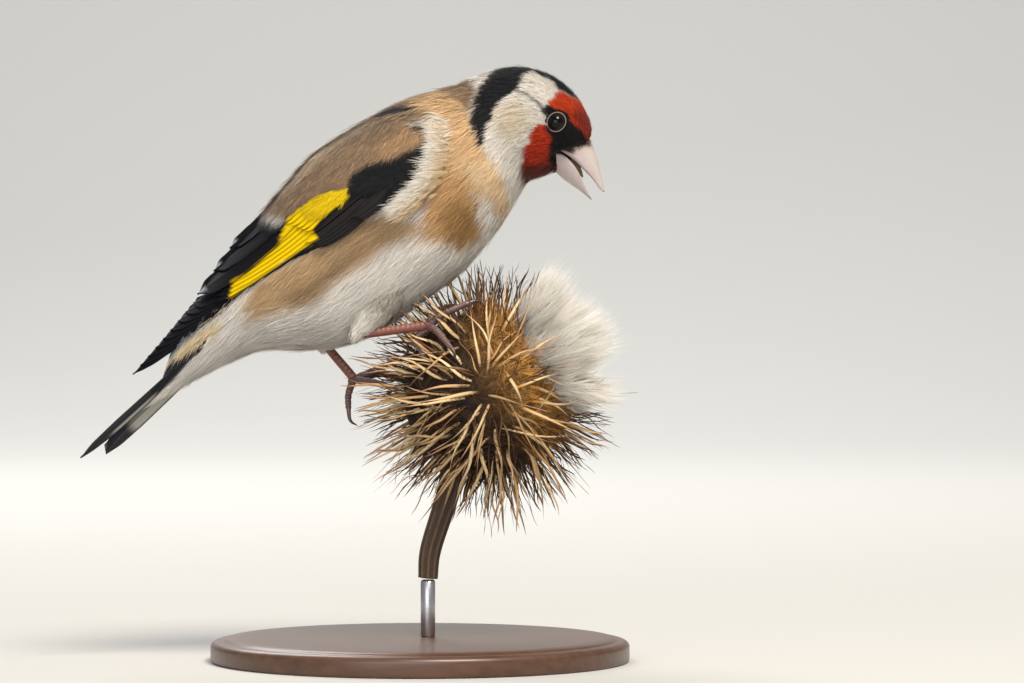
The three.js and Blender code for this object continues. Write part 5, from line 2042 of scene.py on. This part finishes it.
    def down_hairs(self) -> list[bpy.types.Object]:
        """Fine hairs of the down, gathered in wisps that spread out of the mouth.

        Returns:
            The new objects.
        """
        limit, wisps = math.radians(self.down_angle), self.wisps
        total = wisps + self.short_hairs
        which = np.append(np.repeat(np.arange(wisps), self.wisp_hairs), np.arange(wisps, total))
        angle = np.arccos(1 - (1 - math.cos(limit)) * self.rng.uniform(0, 1, total))
        turn = self.rng.uniform(0, 2 * math.pi, total)
        way = self.way(angle, turn)
        tip_way = unit(way + self.rng.normal(0, 0.2, way.shape))[which]
        reach = self.down_reach - self.down_root + self.rng.normal(0, 2.9, total)
        reach = np.where(np.arange(total) < wisps, reach, 3.6 + self.rng.uniform(0, 2.6, total))[which]
        reach = reach * (1 + self.rng.normal(0, 0.16, len(which)))
        reach = reach * np.where(self.rng.uniform(0, 1, len(which)) < 0.015, 1.35, 1.0)
        reach = np.minimum(reach, self.down_longest - self.down_root)
        stray = self.rng.normal(0, 0.06, (len(which), 3))
        root = np.array(self.centre) + (way * self.down_root)[which] + stray * 6.0
        curl = self.rng.normal(0, 0.9, way.shape)[which] + self.rng.normal(0, 0.4, (len(which), 3))
        stations = (0.0, 0.35, 0.7, 1.0)
        step = unit(tip_way + stray * 1.3)
        line = np.stack([root + step * (reach * s)[:, None] + curl * s**2 for s in stations], axis=1)
        ok = self.keep_clear(line[:, -1]) > 0.2
        line, which = line[ok], which[ok]
        side = unit(np.cross(unit(np.gradient(line, axis=1)), self.rng.normal(0, 1, (len(line), 1, 3))))
        corners = ribbons(line, side, np.array([0.085, 0.08, 0.065])[:, None] / 2)
        maker = Coat(self.rng, stations)
        strands = {"corners": corners, "line": line, "q": np.zeros(len(line)), "fan": which}
        base = np.tile(linear("#E6E1D7"), (len(line), 1))
        colours = maker.shade(base, strands, 0.7, 0.06)
        bake_u = 0.5 + 0.48 * (angle / limit * np.cos(turn))[which]
        bake_v = 0.5 + 0.48 * (angle / limit * np.sin(turn))[which]
        return maker.pieces("thistle_down_hairs", strands, colours, bake_u, bake_v)


@dataclass
class ThistleStem:
    """The short cut stem, ribbed, purple-brown on one side and green on the other."""

    rng: np.random.Generator
    head: ThistleHead
    top_radius: float = 2.4
    foot_radius: float = 1.9
    foot: Point = (1.6, 0.0, 17.0)
    root_lean: float = 24.0

    def build(self) -> None:
        """Makes the stem."""
        dress(self.stalk(), DRY_BRACT.build(), "thistle_stem", "perch_stem")

    def stalk(self) -> bpy.types.Object:
        """The ribbed stem from its cut foot to the head.

        Returns:
            The new object.
        """
        lean = math.radians(self.root_lean)
        down = np.array([math.sin(lean), 0, math.cos(lean)]) * self.head.radius * 0.9
        root, foot = np.array(self.head.centre) - down, np.array(self.foot)
        t, turn = np.linspace(0, 1, 80), circle(56)
        path = catmull(np.array([foot, foot + [0.6, 0, 6], root + [-1.6, 0, -7], root]), t)
        ribs = np.maximum(np.cos(turn * 8), 0) ** 1.5
        radius = blend(self.foot_radius, self.top_radius, t)[:, None] * (0.86 + 0.2 * ribs)
        radius = radius * (1 + 0.25 * smoothstep(0.85, 1.0, t))[:, None]
        green, purple, pale, cut = tones("#4C3B2C", "#392524", "#94836A", "#C9C19A")
        shade = blend(purple, green, (0.5 + 0.5 * np.cos(turn - 0.4))[:, None])
        shade = blend(shade, pale, 0.3 * ribs[:, None])
        shade = shade * (1 + 0.1 * self.rng.normal(0, 1, (len(t), len(turn), 1)))
        points, faces = lofted(tube_rings(path, radius, len(turn)))
        return make_mesh("thistle_stalk", points, faces, np.vstack([shade.reshape(-1, 3), cut, cut]))


@dataclass
class Stand:
    """A plain display stand: a turned wooden disc with one steel rod."""

    radius: float = 43.0
    height: float = 5.0
    rod_radius: float = 1.5
    rod_x: float = 1.6
    rod_top: float = 16.7

    def build(self) -> None:
        """Makes the base and the rod."""
        dress(self.base(), WALNUT.build(), "stand_wood", "stand_base")
        dress(self.rod(), STEEL.build(), "stand_steel", "stand_rod")

    def turned(
        self, name: str, profile: Array, centre_x: float, columns: int, colour: str
    ) -> bpy.types.Object:
        """A closed turned form.

        Args:
            name: the piece's name.
            profile: radius and height at each row.
            centre_x: where its axis stands.
            columns: corners round it.
            colour: its hex colour.

        Returns:
            The new object.
        """
        turn, radius = circle(columns), profile[:, :1]
        height = np.repeat(profile[:, 1:], columns, axis=1)
        rings = np.stack([centre_x + radius * np.cos(turn), radius * np.sin(turn), height], axis=-1)
        return make_mesh(name, *lofted(rings), colour)

    def base(self) -> bpy.types.Object:
        """The disc: a flat foot, a rounded edge with a small step, and a faintly crowned top.

        Returns:
            The new object.
        """
        edge = np.linspace(0, math.pi / 2, 12)
        bull = np.stack([self.radius - 1.6 + 1.6 * np.cos(edge), 3.0 + 1.3 * np.sin(edge)], axis=-1)
        profile = np.vstack([
            [[0.5, 0.0], [self.radius - 0.6, 0.0], [self.radius - 0.15, 0.15], [self.radius, 0.6]],
            bull,
            [[self.radius - 2.6, 4.3], [self.radius - 2.9, 4.55], [self.radius - 3.3, 4.75]],
            [[self.radius * k, self.height - 0.25 * k**4] for k in (0.85, 0.6, 0.3, 0.02)],
        ])
        return self.turned("turned_base", profile, 0.0, 160, "#553723")

    def rod(self) -> bpy.types.Object:
        """The rod, with a small chamfer at each end.

        Returns:
            The new object.
        """
        low, high = self.height + 0.05, self.rod_top
        r = self.rod_radius
        profile = np.array([
            [0.2, low], [r - 0.1, low], [r, low + 0.15], [r, (low + high) / 2], [r, high - 0.3],
            [r - 0.3, high], [0.2, high],
        ])
        return self.turned("steel_rod", profile, self.rod_x, 48, "#B9B9BB")


@dataclass
class Studio:
    """Floor and backdrop in one sweep, soft lights, and the camera at the photograph's view."""

    elevation: float = 1.6
    lens: float = 200.0
    sensor: float = 36.0
    centre_pixel: tuple[float, float] = (512.0, 356.0)
    origin_pixel: tuple[float, float] = (420.0, 676.0)
    paper: str = "#C2C1BD"

    def build(self) -> None:
        """Makes all of the studio."""
        self.camera()
        self.sweep()
        self.lights()

    def target(self) -> Vector:
        """Works out where the camera looks.

        Returns:
            The point in the middle of the view, in metres.
        """
        x = (self.centre_pixel[0] - self.origin_pixel[0]) * PHOTO_MM_PER_PIXEL
        z = (self.origin_pixel[1] - self.centre_pixel[1]) * PHOTO_MM_PER_PIXEL
        return Vector((x, 0.0, z)) * MM

    def camera(self) -> None:
        """A long lens, so that the view is nearly without perspective, as the photograph is."""
        data = bpy.data.cameras.new("long_lens")
        data.lens = self.lens
        data.sensor_width = self.sensor
        data.clip_end = 20.0
        camera = bpy.data.objects.new("camera", data)
        bpy.context.scene.collection.objects.link(camera)
        width = PHOTO_SIZE[0] * PHOTO_MM_PER_PIXEL * MM
        distance = width * self.lens / self.sensor
        tilt = math.radians(self.elevation)
        way = Vector((0.0, -math.cos(tilt), math.sin(tilt)))
        camera.location = self.target() + way * distance
        camera.rotation_euler = way.to_track_quat("Z", "Y").to_euler()
        bpy.context.scene.camera = camera

    def sweep(self) -> None:
        """A wide paper floor that curves up into the backdrop."""
        start, radius = 900.0, 1100.0
        rows = [(-2500.0, 0.0), (start, 0.0)]
        for turn in np.linspace(0, math.pi / 2, 25)[1:]:
            rows.append((start + radius * math.sin(turn), radius * (1 - math.cos(turn))))
        rows.append((start + radius, 3500.0))
        xs = np.array([-3500.0, 3500.0])
        points = np.array([[x, y, z - 0.02] for y, z in rows for x in xs])
        faces = grid_faces(len(rows), 2, False)
        floor = make_mesh("paper_sweep", points, [faces], self.paper)
        floor.data.materials.append(PAPER.build())
        floor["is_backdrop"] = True

    def lights(self) -> None:
        """A soft key from the upper right, a fill, a rim, a wash for the backdrop and an even surround."""
        world = bpy.data.worlds.new("studio")
        world.use_nodes = True
        background = world.node_tree.nodes["Background"]
        background.inputs["Color"].default_value = (*linear("#F4F6FA"), 1.0)
        background.inputs["Strength"].default_value = 0.42
        bpy.context.scene.world = world
        model, backdrop = (0, 0, 80), (0, 1400, 250)
        for name, place, aim, size, power, colour in (
            ("key", (260, -480, 860), model, 380, 12.0, "#FFF6E8"),
            ("fill", (-200, -950, 140), model, 800, 6.5, "#F2F5FF"),
            ("rim", (-300, 650, 700), model, 500, 4.5, "#FFFFFF"),
            ("wash", (0, 700, 900), backdrop, 600, 8.0, "#FFFFFF"),
        ):
            data = bpy.data.lights.new(name, "AREA")
            data.size = size * MM
            data.energy = power
            data.color = linear(colour)
            lamp = bpy.data.objects.new(name, data)
            bpy.context.scene.collection.objects.link(lamp)
            lamp.location = Vector(place) * MM
            lamp.rotation_euler = (Vector(place) - Vector(aim)).to_track_quat("Z", "Y").to_euler()
            lamp.visible_camera = False


LEGS = {
    Side.RIGHT: {
        "knee": (-4, -5.0, 79.5), "heel": (-12.8, -9.6, 67.2), "shank_end": (0.6, -8.6, 68.9),
        "ball": (1.6, -8.2, 68.6),
        "toes": (
            Toe("outer", ((3.2, -11.6, 68.4), (5.8, -14.2, 65.6)), (1.6, -1.6, -3.4)),
            Toe("middle", ((4.6, -8.4, 71.2), (9.4, -6.6, 73.4)), (4.2, 0.6, -0.9)),
            Toe("inner", ((2.9, -3.4, 71.4), (5.4, 1.0, 72.6)), (2.4, 3.4, -0.6)),
            Toe("hind", ((-0.6, -8.2, 66.2), (0.6, -8.6, 63.6)), (1.8, -0.9, -3.4)),
        ),
    },
    Side.LEFT: {
        "knee": (-10, 5.0, 77.5), "heel": (-19.6, 8.0, 64.6), "shank_end": (-14.4, 6.2, 58.6),
        "ball": (-13.8, 6.0, 57.6),
        "toes": (
            Toe("outer", ((-9.2, 8.4, 58.6), (-4.6, 9.2, 58.6)), (3.0, 2.2, -1.6)),
            Toe("middle", ((-9.2, 4.6, 59.6), (-4.6, 3.2, 61.6)), (2.0, 0.2, 3.2)),
            Toe("inner", ((-10.0, 2.6, 57.2), (-5.8, -0.6, 56.2)), (0.9, -3.4, -1.0)),
            Toe("hind", ((-14.8, 4.6, 54.6), (-14.8, 3.6, 51.8)), (1.9, -0.9, -3.6)),
        ),
    },
}


def outside_bird(trunk: Trunk) -> Clearance:
    """Makes the test that keeps the thistle's spines out of the bird.

    Args:
        trunk: the bird's body form.

    Returns:
        A function from points to their distance outside the body and the legs.
    """
    t, turn = (grid.ravel() for grid in crossed(np.linspace(0, 0.7, 60), circle(48)))
    shell = trunk.place(t, turn, np.zeros_like(t))
    normal = unit(trunk.place(t, turn, np.ones_like(t)) - shell)
    lines = []
    for leg in LEGS.values():
        lines.append([leg["heel"], leg["shank_end"], leg["ball"]])
        for toe in leg["toes"]:
            lines.append([leg["ball"], *toe.joints, np.array(toe.joints[-1]) + toe.claw])
    limbs = np.vstack([catmull(np.array(line, float), np.linspace(0, 1, 14)) for line in lines])
    limb_radius, batch = 1.1, 2000

    def gap(points: Array) -> Array:
        """Measures points against the bird, in batches to spare memory.

        Args:
            points: places, one row each.

        Returns:
            Each point's distance outside the bird, negative inside.
        """
        result = np.empty(len(points))
        for start in range(0, len(points), batch):
            part = points[start : start + batch]
            away = part[:, None] - shell
            nearest = np.argmin((away**2).sum(axis=-1), axis=1)
            body = (away[np.arange(len(part)), nearest] * normal[nearest]).sum(axis=-1)
            limb = np.sqrt(((part[:, None] - limbs) ** 2).sum(axis=-1)).min(axis=1) - limb_radius
            result[start : start + batch] = np.minimum(body, limb)
        return result

    return gap


def main() -> None:
    """Builds the studio, then the bird, its perch and stand."""
    logging.basicConfig(level=logging.INFO, format="%(name)s %(message)s")
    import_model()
    cad_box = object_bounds()
    bpy.context.scene.view_settings.view_transform = "Standard"
    rng = np.random.default_rng(20)
    Studio().build()
    trunk, eye = Trunk(), Eye()
    vane, soft = FLIGHT_FEATHER.build(), CONTOUR_FEATHER.build()
    scales, horn = LEG_SKIN.build(), CLAW_HORN.build()
    eye.build(scales)
    Body(trunk, eye, rng).build(soft)
    Bill(rng).build(soft)
    for side in Side:
        Wing(side, rng).build(vane, soft)
    Tail().build(vane)
    for side, sizes in LEGS.items():
        Leg(side, rng, **sizes).build(scales, horn, soft)
    head = ThistleHead(rng, outside_bird(trunk))
    head.build()
    ThistleStem(rng, head).build()
    Stand().build()
    sizes = {"cad": [list(corner) for corner in cad_box], "visual": [list(corner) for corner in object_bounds()]}


if __name__ == "__main__":
    main()
